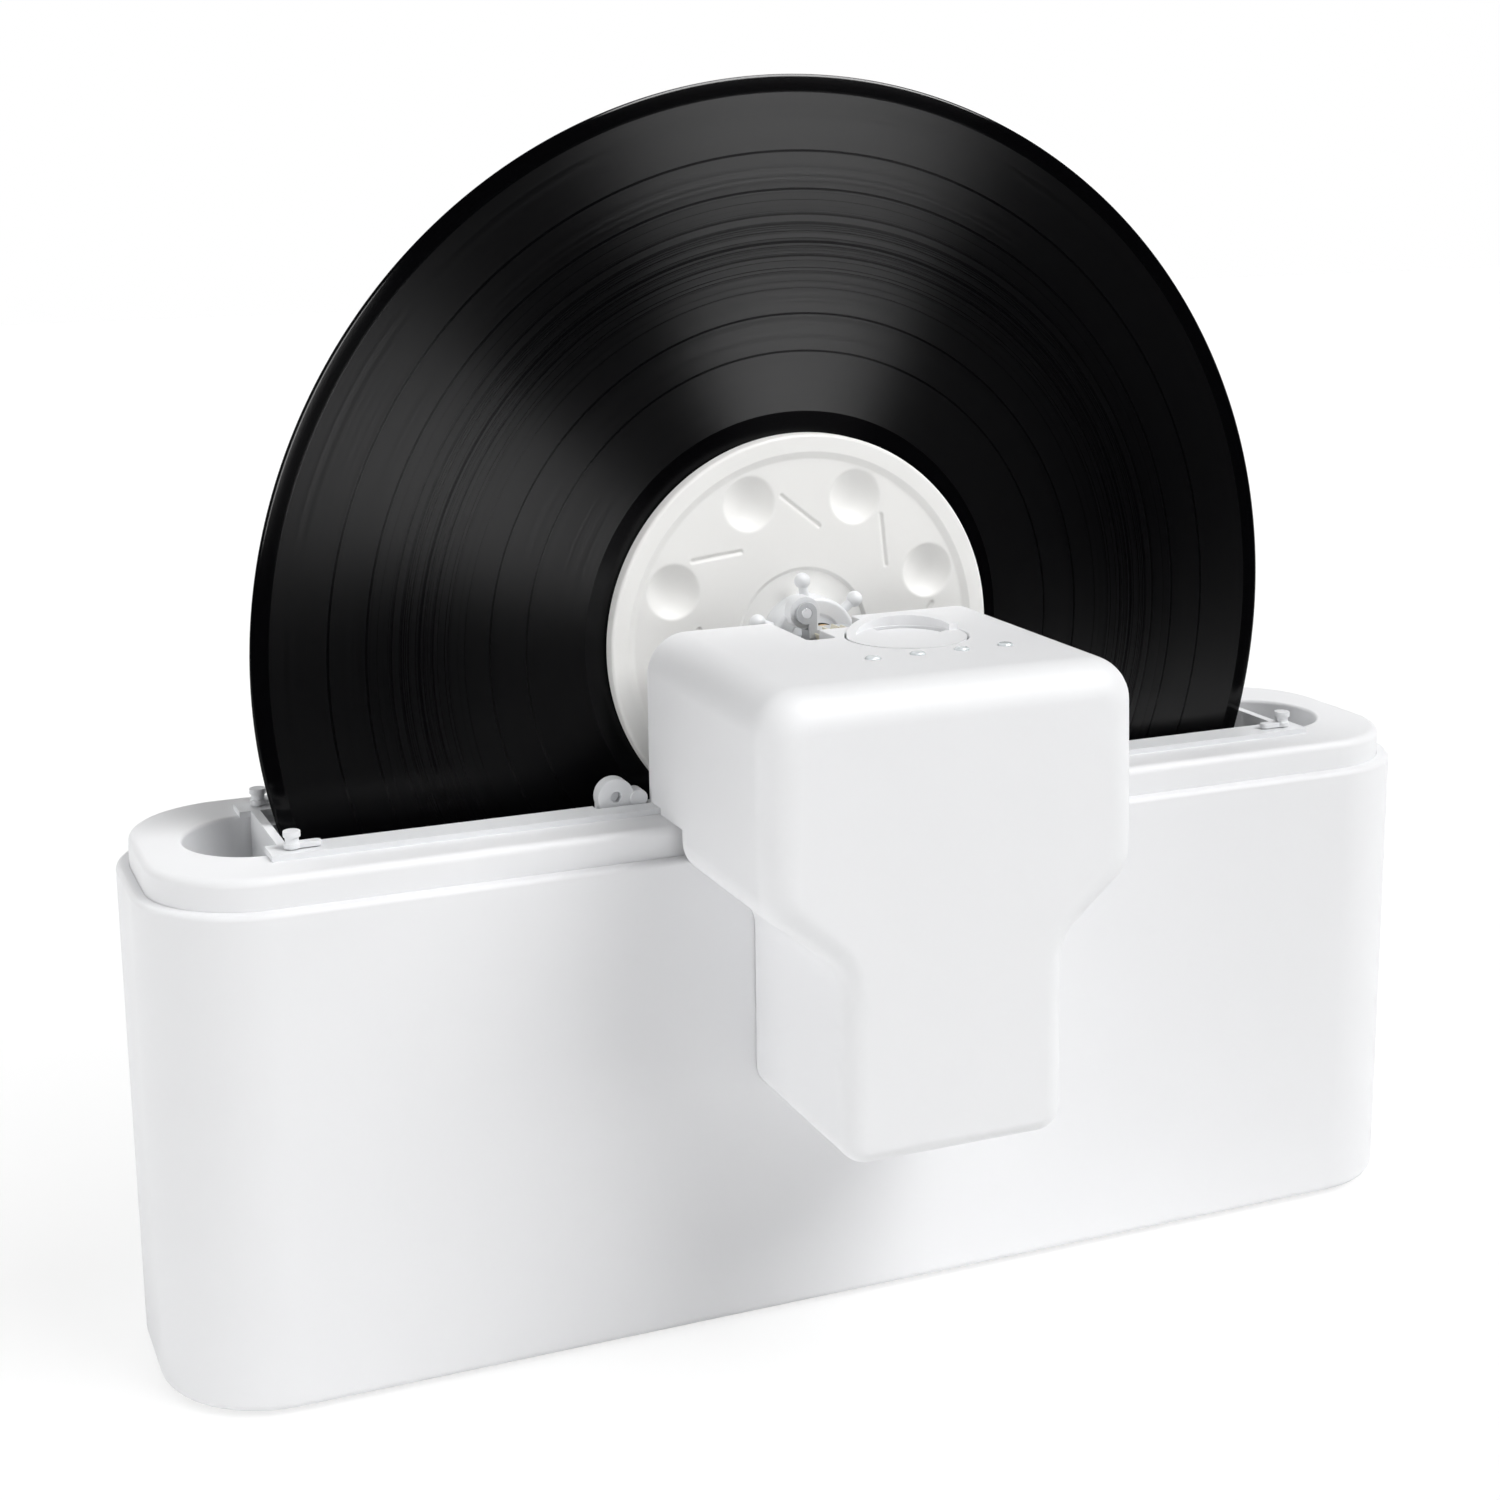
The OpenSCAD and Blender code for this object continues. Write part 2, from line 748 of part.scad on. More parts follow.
module cover_screws() {
    color([0.75, 0.75, 0.77])
    union() {
        for (p = upper_posts) screw_front(p[0], head_y, p[1], upper_screw_l);
        for (p = lower_posts)
            screw_front(p[0], stem_y - head_wall + screw_sink, p[1], lower_screw_l);
    }
}

// Locating dowels between the head's foot and the basin's deck
module head_dowels() {
    point = 2;
    low = deck_z - dowel_l;
    color([0.78, 0.78, 0.8])
    for (s = [-1, 1]) translate([s * dowel_x, dowel_y, 0]) {
        translate([0, 0, low + point]) cylinder(h = foot_top - low - point + eps, r = dowel_r);
        translate([0, 0, low]) cylinder(h = point + eps, r1 = dowel_r - 1, r2 = dowel_r);
        translate([0, 0, foot_top]) cylinder(h = 1.2, r = dowel_r + dowel_head);
    }
}

module control_board() {
    color([0.1, 0.36, 0.2])
    difference() {
        box([-board_half_w, board_y - board_l, board_z], [board_half_w, board_y, board_z + board_t]);
        for (s = [-1, 1]) translate([s * (board_half_w - 3), board_y - 4, board_z - 1])
            cylinder(h = board_t + 2, r = screw_r + 0.1);
    }
}

module dial_switch() {
    low = board_z + board_t;
    color([0.2, 0.2, 0.22])
    difference() {
        box([dial_x - switch_half_w, dial_y - switch_half_w, low],
            [dial_x + switch_half_w, dial_y + switch_half_w, head_top - dial_seat - 0.6]);
        translate([dial_x, dial_y, low + 0.8]) cylinder(h = head_top - low, r = dial_stem_r + run_gap);
    }
}

module status_lamps() {
    low = board_z + board_t;
    color([0.86, 0.93, 0.96])
    for (i = [0:lamp_count - 1])
        translate([lamp_x + (i - (lamp_count - 1) / 2) * lamp_pitch, lamp_y, low]) {
            cylinder(h = head_top - low, r = lamp_r);
            translate([0, 0, head_top - low - eps]) cylinder(h = 0.6, r1 = lamp_r, r2 = lamp_r - 0.6);
        }
}

// Power inlet in the stem's underside
module power_inlet() {
    low = stem_z + head_wall;
    bore_top = low + inlet_h - 4.3;
    color([0.1, 0.1, 0.11])
    translate([0, inlet_y, 0])
    union() {
        difference() {
            union() {
                translate([0, 0, stem_z + 0.4]) cylinder(h = head_wall, r = inlet_r);
                translate([-inlet_half_w, -inlet_half_w, low])
                    cube([2 * inlet_half_w, 2 * inlet_half_w, inlet_h]);
            }
            translate([0, 0, stem_z - 1]) cylinder(h = bore_top - stem_z + 1, r = inlet_bore_r);
        }
        translate([0, 0, stem_z + 1.5]) cylinder(h = bore_top - stem_z - 0.5, r = 1);
    }
}

// Corner points of one gear tooth: both roots and both tips
function tooth(m, n, i, slack) =
    let (pitch_r = m * n / 2,
         half = PI * m / 4 - slack / 2,
         root_r = pitch_r - 1.25 * m,
         tip_r = pitch_r + m,
         root_a = (half + 1.25 * m * tan(pressure_angle)) / root_r * 180 / PI,
         tip_a = (half - m * tan(pressure_angle)) / tip_r * 180 / PI,
         mid = i * 360 / n)
    [for (c = [[root_r, -root_a], [tip_r, -tip_a], [tip_r, tip_a], [root_r, root_a]])
        c[0] * [cos(mid + c[1]), sin(mid + c[1])]];

// Spur gear about Y with its back face at gear_y
module gear(m, n, x, z, turn, bore) {
    translate([x, gear_y, z]) rotate([90, 0, 0])
    difference() {
        rotate(turn) linear_extrude(gear_w)
            polygon([for (i = [0:n - 1]) each tooth(m, n, i, tooth_slack)]);
        translate([0, 0, -1]) cylinder(h = gear_w + 2, r = bore);
    }
}

module drive_gear() {
    color([0.9, 0.88, 0.8])
    gear(gear_module, drive_teeth, 0, drive_z, 180 / drive_teeth, motor_shaft_r + fixed_gap);
}

module motor_shaft() {
    color([0.75, 0.76, 0.78])
    rod_y(motor_shaft_r, gearbox_y - 11, gear_y - 0.2, 0, drive_z);
}

// Dial: a dished disc with a crescent ridge for the fingers, and its stem
module dial() {
    low = head_top - dial_seat;
    ridge_in = dial_r - dial_rim;
    stem_low = board_z + board_t + 1;
    ridge_start = 5;
    ridge_peak = 65;
    groove_start = 9;
    groove_turn = 100;
    groove_w = 2.2;
    dish = 1.6;
    far = 2 * dial_r;
    color([0.95, 0.95, 0.96])
    translate([dial_x, dial_y, 0])
    difference() {
        union() {
            translate([0, 0, low]) cylinder(h = dial_seat + ridge_h, r = dial_r);
            translate([0, 0, stem_low]) cylinder(h = low - stem_low + 1, r = dial_stem_r);
        }
        intersection() {
            translate([0, 0, head_top + 0.5])
                rotate(ridge_peak) rotate([0, -atan((ridge_h - 0.5) / dial_r), 0])
                    translate([-far, -far, 0]) cube(2 * far);
            translate([-far, -far, head_top]) cube(2 * far);
        }
        translate([0, 0, head_top]) rotate(ridge_start) translate([-far, -2 * far, 0]) cube(2 * far);
        translate([0, 0, head_top]) cylinder(h = far, r = ridge_in);
        translate([0, 0, head_top - dish])
            cylinder(h = dish + eps, r1 = dial_r / 3, r2 = ridge_in - 0.4);
        translate([0, 0, head_top - dish - 1]) rotate(groove_start) rotate_extrude(angle = groove_turn)
            translate([ridge_in - groove_w, 0]) square([groove_w - 0.2, 4]);
    }
}

// Block that carries the spindle's bush, with an ear for the lever's pin
module bearing_block() {
    ear_y = block_y - block_t;
    color([0.82, 0.83, 0.85])
    difference() {
        union() {
            box([-block_half_w, ear_y, seat_floor], [block_half_w, block_y, block_top]);
            box([lever_x + 0.6, ear_y, block_top - eps], [lever_x + 3, ear_y + pin_ear, lever_z]);
            rod_y(3, ear_y, ear_y + pin_ear, lever_x, lever_z);
        }
        rod_y(bush_r + fixed_gap, ear_y - 1, 0, 0, axis_z);
        rod_y(latch_hole_r - run_gap + fixed_gap, ear_y - 1, 0, lever_x, lever_z);
    }
}

module spindle_bush() {
    color([0.72, 0.56, 0.3])
    difference() {
        union() {
            rod_y(bush_r, block_y - block_t, block_y + eps, 0, axis_z);
            rod_y(bush_r + bush_flange, block_y, block_y + 1, 0, axis_z);
        }
        rod_y(journal_r + run_gap, block_y - block_t - 1, 0, 0, axis_z);
    }
}

// Lever with a round head that stands up in the notch
module cradle_lever() {
    front = block_y - block_t + pin_ear + seat_gap;
    color([0.96, 0.96, 0.96])
    difference() {
        union() {
            rod_y(lever_r, front, block_y, lever_x, lever_z);
            box([lever_x + 1.4, front, block_top + seat_gap], [lever_x + 3.8, block_y, lever_z]);
        }
        rod_y(latch_hole_r, front - 1, block_y - 1.2, lever_x, lever_z);
    }
}

module lever_pin() {
    color([0.78, 0.78, 0.8])
    rod_y(latch_hole_r - run_gap, block_y - block_t, block_y - 1.5, lever_x, lever_z);
}

// Shaft: journal in front, a shoulder behind the front disc, a thread through the record
module spindle_shaft() {
    color([0.8, 0.8, 0.82])
    turn_y() polygon([[0, shaft_end_y], [journal_r, shaft_end_y], [journal_r, -shoulder_y],
                      [shoulder_r, -shoulder_y], [shoulder_r, -disc_back], [bore_r, -disc_back],
                      [bore_r, shaft_back_y], [0, shaft_back_y]]);
}

module spindle_gear() {
    color([0.9, 0.88, 0.8])
    gear(gear_module, spindle_teeth, 0, axis_z, 0, journal_r + fixed_gap);
}

// Ring about the spindle's axis between two radii and two distances
module ring_y(inner, outer, y0, y1) {
    turn_y() translate([inner, y0]) square([outer - inner, y1 - y0]);
}

module retaining_clip() {
    clip_y = gear_y - gear_w - seat_gap;
    color([0.6, 0.6, 0.62]) ring_y(journal_r + fixed_gap, journal_r + 1.5, clip_y - 0.8, clip_y);
}

module thrust_washer() {
    washer_y = block_y + 1 + seat_gap;
    color([0.3, 0.3, 0.32]) ring_y(journal_r + fixed_gap, journal_r + 2, washer_y, washer_y + 0.9);
}

// Label disc without its hub: rim, dish, hub floor, finger pockets and swirl grooves.
// Drawn on +Y, with its back to the record.
module label_disc(bore, seat_r) {
    face = disc_face_y;
    ball_r = (pocket_r * pocket_r + pocket_depth * pocket_depth) / (2 * pocket_depth);
    dish_y = face - disc_dish;
    difference() {
        turn_y() polygon([[bore, shoulder_y], [seat_r, shoulder_y], [seat_r, disc_back],
                          [seal_in, disc_back], [seal_in, seal_back], [seal_out, seal_back],
                          [seal_out, disc_back], [disc_r - 0.6, disc_back], [disc_r, disc_back + 0.6],
                          [disc_r, face - 0.8], [disc_r - 0.8, face], [disc_r - 5, face],
                          [disc_r - 7, dish_y], [hub_recess_r + 0.8, dish_y + 0.3],
                          [hub_recess_r, dish_y], [hub_recess_r - 0.3, -hub_floor_y],
                          [bore, -hub_floor_y]]);
        for (i = [0:pocket_count - 1]) {
            turn = (i + 0.5) * 360 / pocket_count;
            translate([pocket_pitch_r * cos(turn), dish_y - pocket_depth + ball_r,
                       axis_z + pocket_pitch_r * sin(turn)]) sphere(r = ball_r);
            swirl_groove(i * 360 / pocket_count, dish_y);
        }
    }
}

// Straight shallow groove between two pockets
module swirl_groove(turn, y) {
    outer = swirl_outer_r * [cos(turn + swirl_turn), sin(turn + swirl_turn)];
    inner = swirl_inner_r * [cos(turn - swirl_turn), sin(turn - swirl_turn)];
    run = outer - inner;
    translate([inner[0], 0, axis_z + inner[1]]) rotate([0, -atan2(run[1], run[0]), 0])
        translate([0, y - 0.5, -swirl_w / 2]) cube([norm(run), 2, swirl_w]);
}

module front_label_disc() {
    color([0.96, 0.95, 0.92])
    mirror([0, 1, 0]) label_disc(journal_r + fixed_gap, shoulder_r + fixed_gap);
}

module front_label_seal() {
    color([0.2, 0.2, 0.21])
    ring_y(seal_in + seal_gap, seal_out - seal_gap, -seal_back, -record_t / 2);
}

// Peg along Z with a ball at its end
module ball_peg(l) {
    rotate_extrude()
    intersection() {
        union() {
            square([star_peg_r, l]);
            translate([0, l]) circle(r = star_ball_r, $fn = 32);
        }
        square([2 * star_ball_r, l + 2 * star_ball_r]);
    }
}

// Nut with six ball-ended pegs that holds the front disc on the shaft
module star_nut() {
    peg_root = star_r - 1.5;
    front = hub_floor_y - star_t;
    color([0.9, 0.9, 0.9])
    difference() {
        union() {
            rod_y(star_r, front + star_rim, hub_floor_y, 0, axis_z);
            rod_y(star_r - star_rim, front, front + star_rim + eps, 0, axis_z);
            for (i = [0:peg_count - 1])
                translate([0, peg_y, axis_z]) rotate([0, -star_turn - i * 360 / peg_count, 0])
                    translate([peg_root, 0, 0]) rotate([0, 90, 0]) ball_peg(star_reach - peg_root);
        }
        rod_y(journal_r + fixed_gap, front - 1, 0, 0, axis_z);
    }
}

// Record: thicker bead at the edge and thicker label, with its centre hole
module record() {
    half = record_t / 2;
    bead = half + bead_raise;
    label = half + label_raise;
    slope = 1.4;
    round_w = 0.8;
    tip = 0.2;
    color([0.04, 0.04, 0.045])
    turn_y() polygon([[record_hole_r, -label], [label_r, -label], [label_r + 0.1, -half],
                      [record_r - bead_w, -half], [record_r - bead_w + slope, -bead],
                      [record_r - round_w, -bead], [record_r, -tip], [record_r, tip],
                      [record_r - round_w, bead], [record_r - bead_w + slope, bead],
                      [record_r - bead_w, half], [label_r + 0.1, half], [label_r, label],
                      [record_hole_r, label]]);
}

// Back disc: the same finger pockets round a closed hub
module back_label_disc() {
    bore = insert_r + fixed_gap;
    bore_end = shaft_back_y + seat_gap + 0.1;
    color([0.96, 0.95, 0.92])
    difference() {
        union() {
            label_disc(bore, bore);
            turn_y() polygon([[bore, 3], [hub_r, 3], [hub_r, hub_back_y - hub_round],
                              [hub_r - hub_round, hub_back_y], [0, hub_back_y], [0, bore_end],
                              [bore, bore_end]]);
        }
        rod_y(bore, 0, bore_end, 0, axis_z);
    }
}

module back_label_seal() {
    color([0.2, 0.2, 0.21])
    ring_y(seal_in + seal_gap, seal_out - seal_gap, record_t / 2, seal_back);
}

module thread_insert() {
    color([0.78, 0.62, 0.32])
    ring_y(bore_r + run_gap, insert_r, disc_back, shaft_back_y + seat_gap);
}

base_pad();
outer_casing();
inner_basin();
brush_frame();
front_pad_carrier();
rear_pad_carrier();
front_brush_pad();
rear_brush_pad();
left_latch_bracket();
right_latch_bracket();
left_head_latch();
right_head_latch();
front_left_corner_latch();
front_right_corner_latch();
rear_left_corner_latch();
rear_right_corner_latch();
head_shell();
head_back_cover();
spindle_cradle();
motor_plate();
gearbox();
motor();
motor_screws();
control_board();
dial_switch();
status_lamps();
power_inlet();
cover_screws();
cradle_screws();
head_dowels();
drive_gear();
motor_shaft();
dial();
bearing_block();
spindle_bush();
cradle_lever();
lever_pin();
spindle_shaft();
spindle_gear();
retaining_clip();
thrust_washer();
front_label_disc();
front_label_seal();
star_nut();
record();
back_label_disc();
back_label_seal();
thread_insert();
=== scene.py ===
"""Record cleaning machine: the looks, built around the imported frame.

Every object is in metres in the frame's own axes: X along the casing, -Y is the front, Z is up.
Sizes inside the functions are millimetres, like the frame's source, and MM turns them into metres.
"""

import math

import bmesh
import bpy
import numpy as np
from mathutils import Matrix, Vector


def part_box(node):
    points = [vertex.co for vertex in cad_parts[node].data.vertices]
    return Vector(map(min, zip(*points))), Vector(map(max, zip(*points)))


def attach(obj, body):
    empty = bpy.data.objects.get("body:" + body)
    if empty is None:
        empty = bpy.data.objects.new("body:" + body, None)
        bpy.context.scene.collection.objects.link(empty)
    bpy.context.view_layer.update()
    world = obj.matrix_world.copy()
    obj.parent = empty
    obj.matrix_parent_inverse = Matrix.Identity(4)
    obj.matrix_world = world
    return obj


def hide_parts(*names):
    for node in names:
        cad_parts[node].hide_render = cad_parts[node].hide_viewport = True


bl_info = {
    "name": "Record cleaning machine",
    "version": (1, 0, 0),
    "blender": (4, 5, 0),
    "location": "View3D > Sidebar > Record washer",
    "description": "Builds the visible pieces of a bath-type record cleaning machine",
    "category": "Object",
}

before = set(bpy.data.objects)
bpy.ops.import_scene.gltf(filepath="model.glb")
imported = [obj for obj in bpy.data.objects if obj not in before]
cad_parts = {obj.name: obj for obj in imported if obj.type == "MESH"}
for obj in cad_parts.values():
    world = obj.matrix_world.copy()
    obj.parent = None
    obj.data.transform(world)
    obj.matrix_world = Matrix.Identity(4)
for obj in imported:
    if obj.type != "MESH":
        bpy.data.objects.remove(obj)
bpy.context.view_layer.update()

MM = 0.001


def box_mm(node):
    """Lowest and highest corner of a CAD node, in millimetres."""
    low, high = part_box(node)
    return [value / MM for value in low], [value / MM for value in high]


def middle_of(low, high):
    """The middle of a box, in the corners' own unit."""
    return [(a + b) / 2 for a, b in zip(low, high)]


CASING_LOW, CASING_HIGH = box_mm("outer_casing")
HEAD_LOW, HEAD_HIGH = box_mm("head_shell")
# In millimetres: heights of the spindle's axis, the deck and the casing's seat, and the back of the stem.
AXIS_Z = middle_of(*box_mm("record"))[2]
DECK_Z = box_mm("inner_basin")[1][2]
SEAT_Z = DECK_Z - 20.0
STEM_BACK = CASING_LOW[1] - 0.3


# Sizes and colours that a user may change


def size(name, text, default):
    """A length in millimetres as a Blender property in metres."""
    return bpy.props.FloatProperty(
        name=name, description=text, default=default * MM, min=0.0, precision=5, unit="LENGTH",
        subtype="DISTANCE")


def count(name, text, default, low, high):
    """A whole number of repeats."""
    return bpy.props.IntProperty(name=name, description=text, default=default, min=low, max=high)


def share(name, text, default):
    """A share from 0 to 1."""
    return bpy.props.FloatProperty(
        name=name, description=text, default=default, min=0.0, max=1.0, subtype="FACTOR")


def colour(name, text, default):
    """A colour, linear."""
    return bpy.props.FloatVectorProperty(
        name=name, description=text, default=default, size=3, min=0.0, max=1.0, subtype="COLOR")


class WasherTankSizes(bpy.types.PropertyGroup):
    """Sizes of the casing and the basin."""

    casing_radius: size("Corner radius", "Radius of the casing's upright corners", 30.3)
    casing_wall: size("Casing wall", "Thickness of the casing's wall", 3.2)
    top_round: size("Ledge edge", "Rounding of the casing's top edge", 1.4)
    foot_round: size("Foot edge", "Rounding of the casing's bottom edge", 2.2)
    pad_inset: size("Pad inset", "Distance of the base pad from the casing's side", 5.0)
    collar_inset: size("Collar inset", "Distance of the collar from the casing's side", 3.5)
    collar_round: size("Collar edge", "Rounding of the collar's top edge", 2.2)
    well_half_l: size("Well half length", "Half the well's length, round ends included", 170.0)
    well_half_w: size("Well half width", "Half the well's width", 18.8)
    well_floor: size("Well floor", "Height of the well's floor", 20.0)
    well_round: size("Well edge", "Rounding of the well's top edge", 1.0)


class WasherHeadSizes(bpy.types.PropertyGroup):
    """Sizes of the drive head's shell."""

    half_w: size("Head half width", "Half the head's width", 50.5)
    stem_half_w: size("Stem half width", "Half the stem's width", 30.6)
    shoulder_top: size("Shoulder top", "Height at which the head starts to narrow", 132.0)
    shoulder_bottom: size("Shoulder bottom", "Height at which the stem starts", 116.0)
    wall: size("Wall", "Thickness of the shell", 2.8)
    top_round: size("Top edge", "Rounding of the top front edge", 10.0)
    side_round: size("Side edge", "Rounding of the upright front edges", 8.0)
    stem_round: size("Stem edge", "Rounding of the stem's front edges", 6.0)
    foot_round: size("Foot edge", "Rounding of the stem's bottom front edge", 4.5)
    cut_round: size("Cut edge", "Rounding of the edges round notches and holes", 0.35)


class WasherDiscSizes(bpy.types.PropertyGroup):
    """Sizes of the label discs, the record and the star nut."""

    disc_radius: size("Disc radius", "Radius of a label disc", 56.0)
    pocket_count: count("Pockets", "Number of finger pockets in a disc", 8, 3, 16)
    pocket_pitch: size("Pocket pitch", "Distance of the pockets from the disc's middle", 41.0)
    pocket_radius: size("Pocket radius", "Radius of a pocket at the disc's face", 7.5)
    pocket_depth: size("Pocket depth", "Depth of a pocket", 3.0)
    record_radius: size("Record radius", "Radius of the record", 150.8)
    peg_count: count("Pegs", "Number of ball-ended pegs on the star nut", 6, 3, 12)
    peg_reach: size("Peg reach", "Distance of a peg's ball from the middle", 16.8)


class WasherFinishes(bpy.types.PropertyGroup):
    """Colours and surface values."""

    shell: colour("Shell", "Satin white of the casing, basin and head", (0.83, 0.833, 0.845))
    rails: colour("Rails", "White of the brush frame and the latches", (0.80, 0.81, 0.825))
    disc: colour("Label discs", "Warm white of the label discs", (0.87, 0.865, 0.848))
    vinyl: colour("Record", "Black of the record", (0.0010, 0.0010, 0.0013))
    pile: colour("Pile", "Grey of the brush pads", (0.10, 0.11, 0.135))
    lens: colour("Lamps", "Clear lenses of the lamps", (0.78, 0.82, 0.84))
    grain: share("Grain", "Strength of the moulded grain", 0.12)
    satin: share("Satin", "Roughness of the white shell", 0.56)


GROUPS = {"washer_tank": WasherTankSizes, "washer_head": WasherHeadSizes, "washer_disc": WasherDiscSizes,
          "washer_finish": WasherFinishes}


def sizes():
    """The four property groups of the scene: tank, head, disc and finish."""
    return [getattr(bpy.context.scene, holder) for holder in GROUPS]


# Paths, loops and meshes


def rounded(corners, steps=6, closed=False):
    """A path through corners (u, v, radius), each corner replaced by an arc of its radius."""
    path = []
    last = len(corners) - 1
    for i, (u, v, radius) in enumerate(corners):
        here = Vector((u, v))
        if radius <= 0 or (not closed and i in (0, last)):
            path.append((u, v))
            continue
        before = (Vector(corners[i - 1][:2]) - here).normalized()
        after = (Vector(corners[(i + 1) % len(corners)][:2]) - here).normalized()
        half = before.angle(after) / 2
        centre = here + (before + after).normalized() * (radius / math.sin(half))
        start = here + before * (radius / math.tan(half)) - centre
        end = here + after * (radius / math.tan(half)) - centre
        first = math.atan2(start.y, start.x)
        turn = math.atan2(end.y, end.x) - first
        turn = (turn + math.pi) % (2 * math.pi) - math.pi
        for k in range(steps + 1):
            angle = first + turn * k / steps
            path.append((centre.x + radius * math.cos(angle), centre.y + radius * math.sin(angle)))
    return path


def plan_loop(half_l, half_w, radius, z, steps=14):
    """A rounded rectangle at height z, anticlockwise seen from above."""
    radius = min(radius, half_w)
    loop = []
    for quarter, (sx, sy) in enumerate([(1, 1), (-1, 1), (-1, -1), (1, -1)]):
        for k in range(steps + 1):
            angle = (quarter + k / steps) * math.pi / 2
            loop.append((sx * (half_l - radius) + radius * math.cos(angle),
                         sy * (half_w - radius) + radius * math.sin(angle), z))
    return loop


def linked(name, mesh):
    """A new object for a mesh, in the scene."""
    made = bpy.data.objects.new(name, mesh)
    bpy.context.scene.collection.objects.link(made)
    return made


def shaped(name, shape):
    """A new object from an edited mesh, which is then freed."""
    mesh = bpy.data.meshes.new(name)
    shape.to_mesh(mesh)
    shape.free()
    return linked(name, mesh)


def mesh_object(name, points, faces):
    """An object from points in millimetres, with doubles merged and faces pointing outwards."""
    shape = bmesh.new()
    corners = [shape.verts.new(Vector(p) * MM) for p in points]
    for face in faces:
        if len(set(face)) > 2:
            shape.faces.new([corners[i] for i in face])
    bmesh.ops.remove_doubles(shape, verts=shape.verts, dist=0.002 * MM)
    bmesh.ops.recalc_face_normals(shape, faces=shape.faces)
    return shaped(name, shape)


def skin(name, rows, capped=True):
    """A closed skin over loops of points that have the same length."""
    width = len(rows[0])
    points = [p for row in rows for p in row]
    faces = []
    for start in range(0, (len(rows) - 1) * width, width):
        for i in range(width):
            j = (i + 1) % width
            faces.append((start + i, start + j, start + width + j, start + width + i))
    if capped:
        faces.append(tuple(range(width)))
        faces.append(tuple((len(rows) - 1) * width + i for i in range(width)))
    return mesh_object(name, points, faces)


def turned(name, profile, steps=96, middle=(0.0, 0.0, 0.0), axis="Z", closed=False):
    """A profile of (radius, height) turned about an axis through the middle.

    An open profile starts and ends on the axis; a closed one is a ring's section.
    """
    points, faces = [], []
    for radius, height in profile:
        for k in range(steps):
            angle = 2 * math.pi * k / steps
            u, v = max(radius, 0.0) * math.cos(angle), max(radius, 0.0) * math.sin(angle)
            local = {"X": (height, u, v), "Y": (u, height, v), "Z": (u, v, height)}[axis]
            points.append([a + b for a, b in zip(local, middle)])
    rings = len(profile)
    for ring in range(rings if closed else rings - 1):
        here, there = ring * steps, (ring + 1) % rings * steps
        for k in range(steps):
            j = (k + 1) % steps
            faces.append((here + k, here + j, there + j, there + k))
    return mesh_object(name, points, faces)


def block(name, low, high):
    """A box between two corners, for cutting."""
    points = [(x, y, z) for x in (low[0], high[0]) for y in (low[1], high[1]) for z in (low[2], high[2])]
    faces = [(0, 1, 3, 2), (4, 6, 7, 5), (0, 4, 5, 1), (2, 3, 7, 6), (0, 2, 6, 4), (1, 5, 7, 3)]
    return mesh_object(name, points, faces)


def rod(name, radius, start, end, steps=48):
    """A cylinder between two points, for cutting or as a plain shaft."""
    shape = bmesh.new()
    a, b = Vector(start) * MM, Vector(end) * MM
    turn = (b - a).to_track_quat("Z", "Y").to_matrix().to_4x4()
    place = Matrix.Translation((a + b) / 2) @ turn
    bmesh.ops.create_cone(shape, cap_ends=True, segments=steps, radius1=radius * MM, radius2=radius * MM,
                          depth=(b - a).length, matrix=place)
    return shaped(name, shape)


def discard(*objects):
    """Removes helper objects."""
    for thing in objects:
        bpy.data.objects.remove(thing)


def settle(piece):
    """Turns live modifiers into a plain mesh."""
    bpy.context.view_layer.update()
    graph = bpy.context.evaluated_depsgraph_get()
    mesh = bpy.data.meshes.new_from_object(piece.evaluated_get(graph), preserve_all_data_layers=True,
                                           depsgraph=graph)
    piece.modifiers.clear()
    piece.data = mesh
    mesh.name = piece.name
    return piece


def combine(piece, others, way="DIFFERENCE"):
    """Cuts or joins other solids with the piece and removes them."""
    for other in others:
        step = piece.modifiers.new("cut", "BOOLEAN")
        step.operation = way
        step.object = other
        step.solver = "EXACT"
    settle(piece)
    discard(*others)
    return piece


def joined(name, parts):
    """One object from several, with their meshes put together as they are."""
    shape = bmesh.new()
    for part in parts:
        shape.from_mesh(part.data)
    made = shaped(name, shape)
    discard(*parts)
    return made


def soften(piece, width, angle=35.0, segments=2):
    """Rounds the sharp edges and settles the piece with clean shading."""
    bevel = piece.modifiers.new("edges", "BEVEL")
    bevel.width = width * MM
    bevel.segments = segments
    bevel.limit_method = "ANGLE"
    bevel.angle_limit = math.radians(angle)
    return smooth(settle(piece))


def smooth(piece, angle=32.0):
    """Smooth shading that keeps sharp edges sharp."""
    piece.data.polygons.foreach_set("use_smooth", [True] * len(piece.data.polygons))
    piece.data.set_sharp_from_angle(angle=math.radians(angle))
    weighted = piece.modifiers.new("normals", "WEIGHTED_NORMAL")
    weighted.keep_sharp = True
    weighted.weight = 80
    return settle(piece)


def copy_of(node, name):
    """A copy of a CAD node with merged corners and no needless edges."""
    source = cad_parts[node]
    shape = bmesh.new()
    shape.from_mesh(source.data)
    shape.transform(source.matrix_world)
    bmesh.ops.remove_doubles(shape, verts=shape.verts, dist=0.0015 * MM)
    bmesh.ops.dissolve_limit(shape, angle_limit=math.radians(0.6), use_dissolve_boundaries=False,
                             verts=shape.verts, edges=shape.edges)
    return shaped(name, shape)


def refined(node, name, width=0.25, angle=35.0):
    """A copy of a CAD node with rounded edges and clean shading."""
    return soften(copy_of(node, name), width, angle)


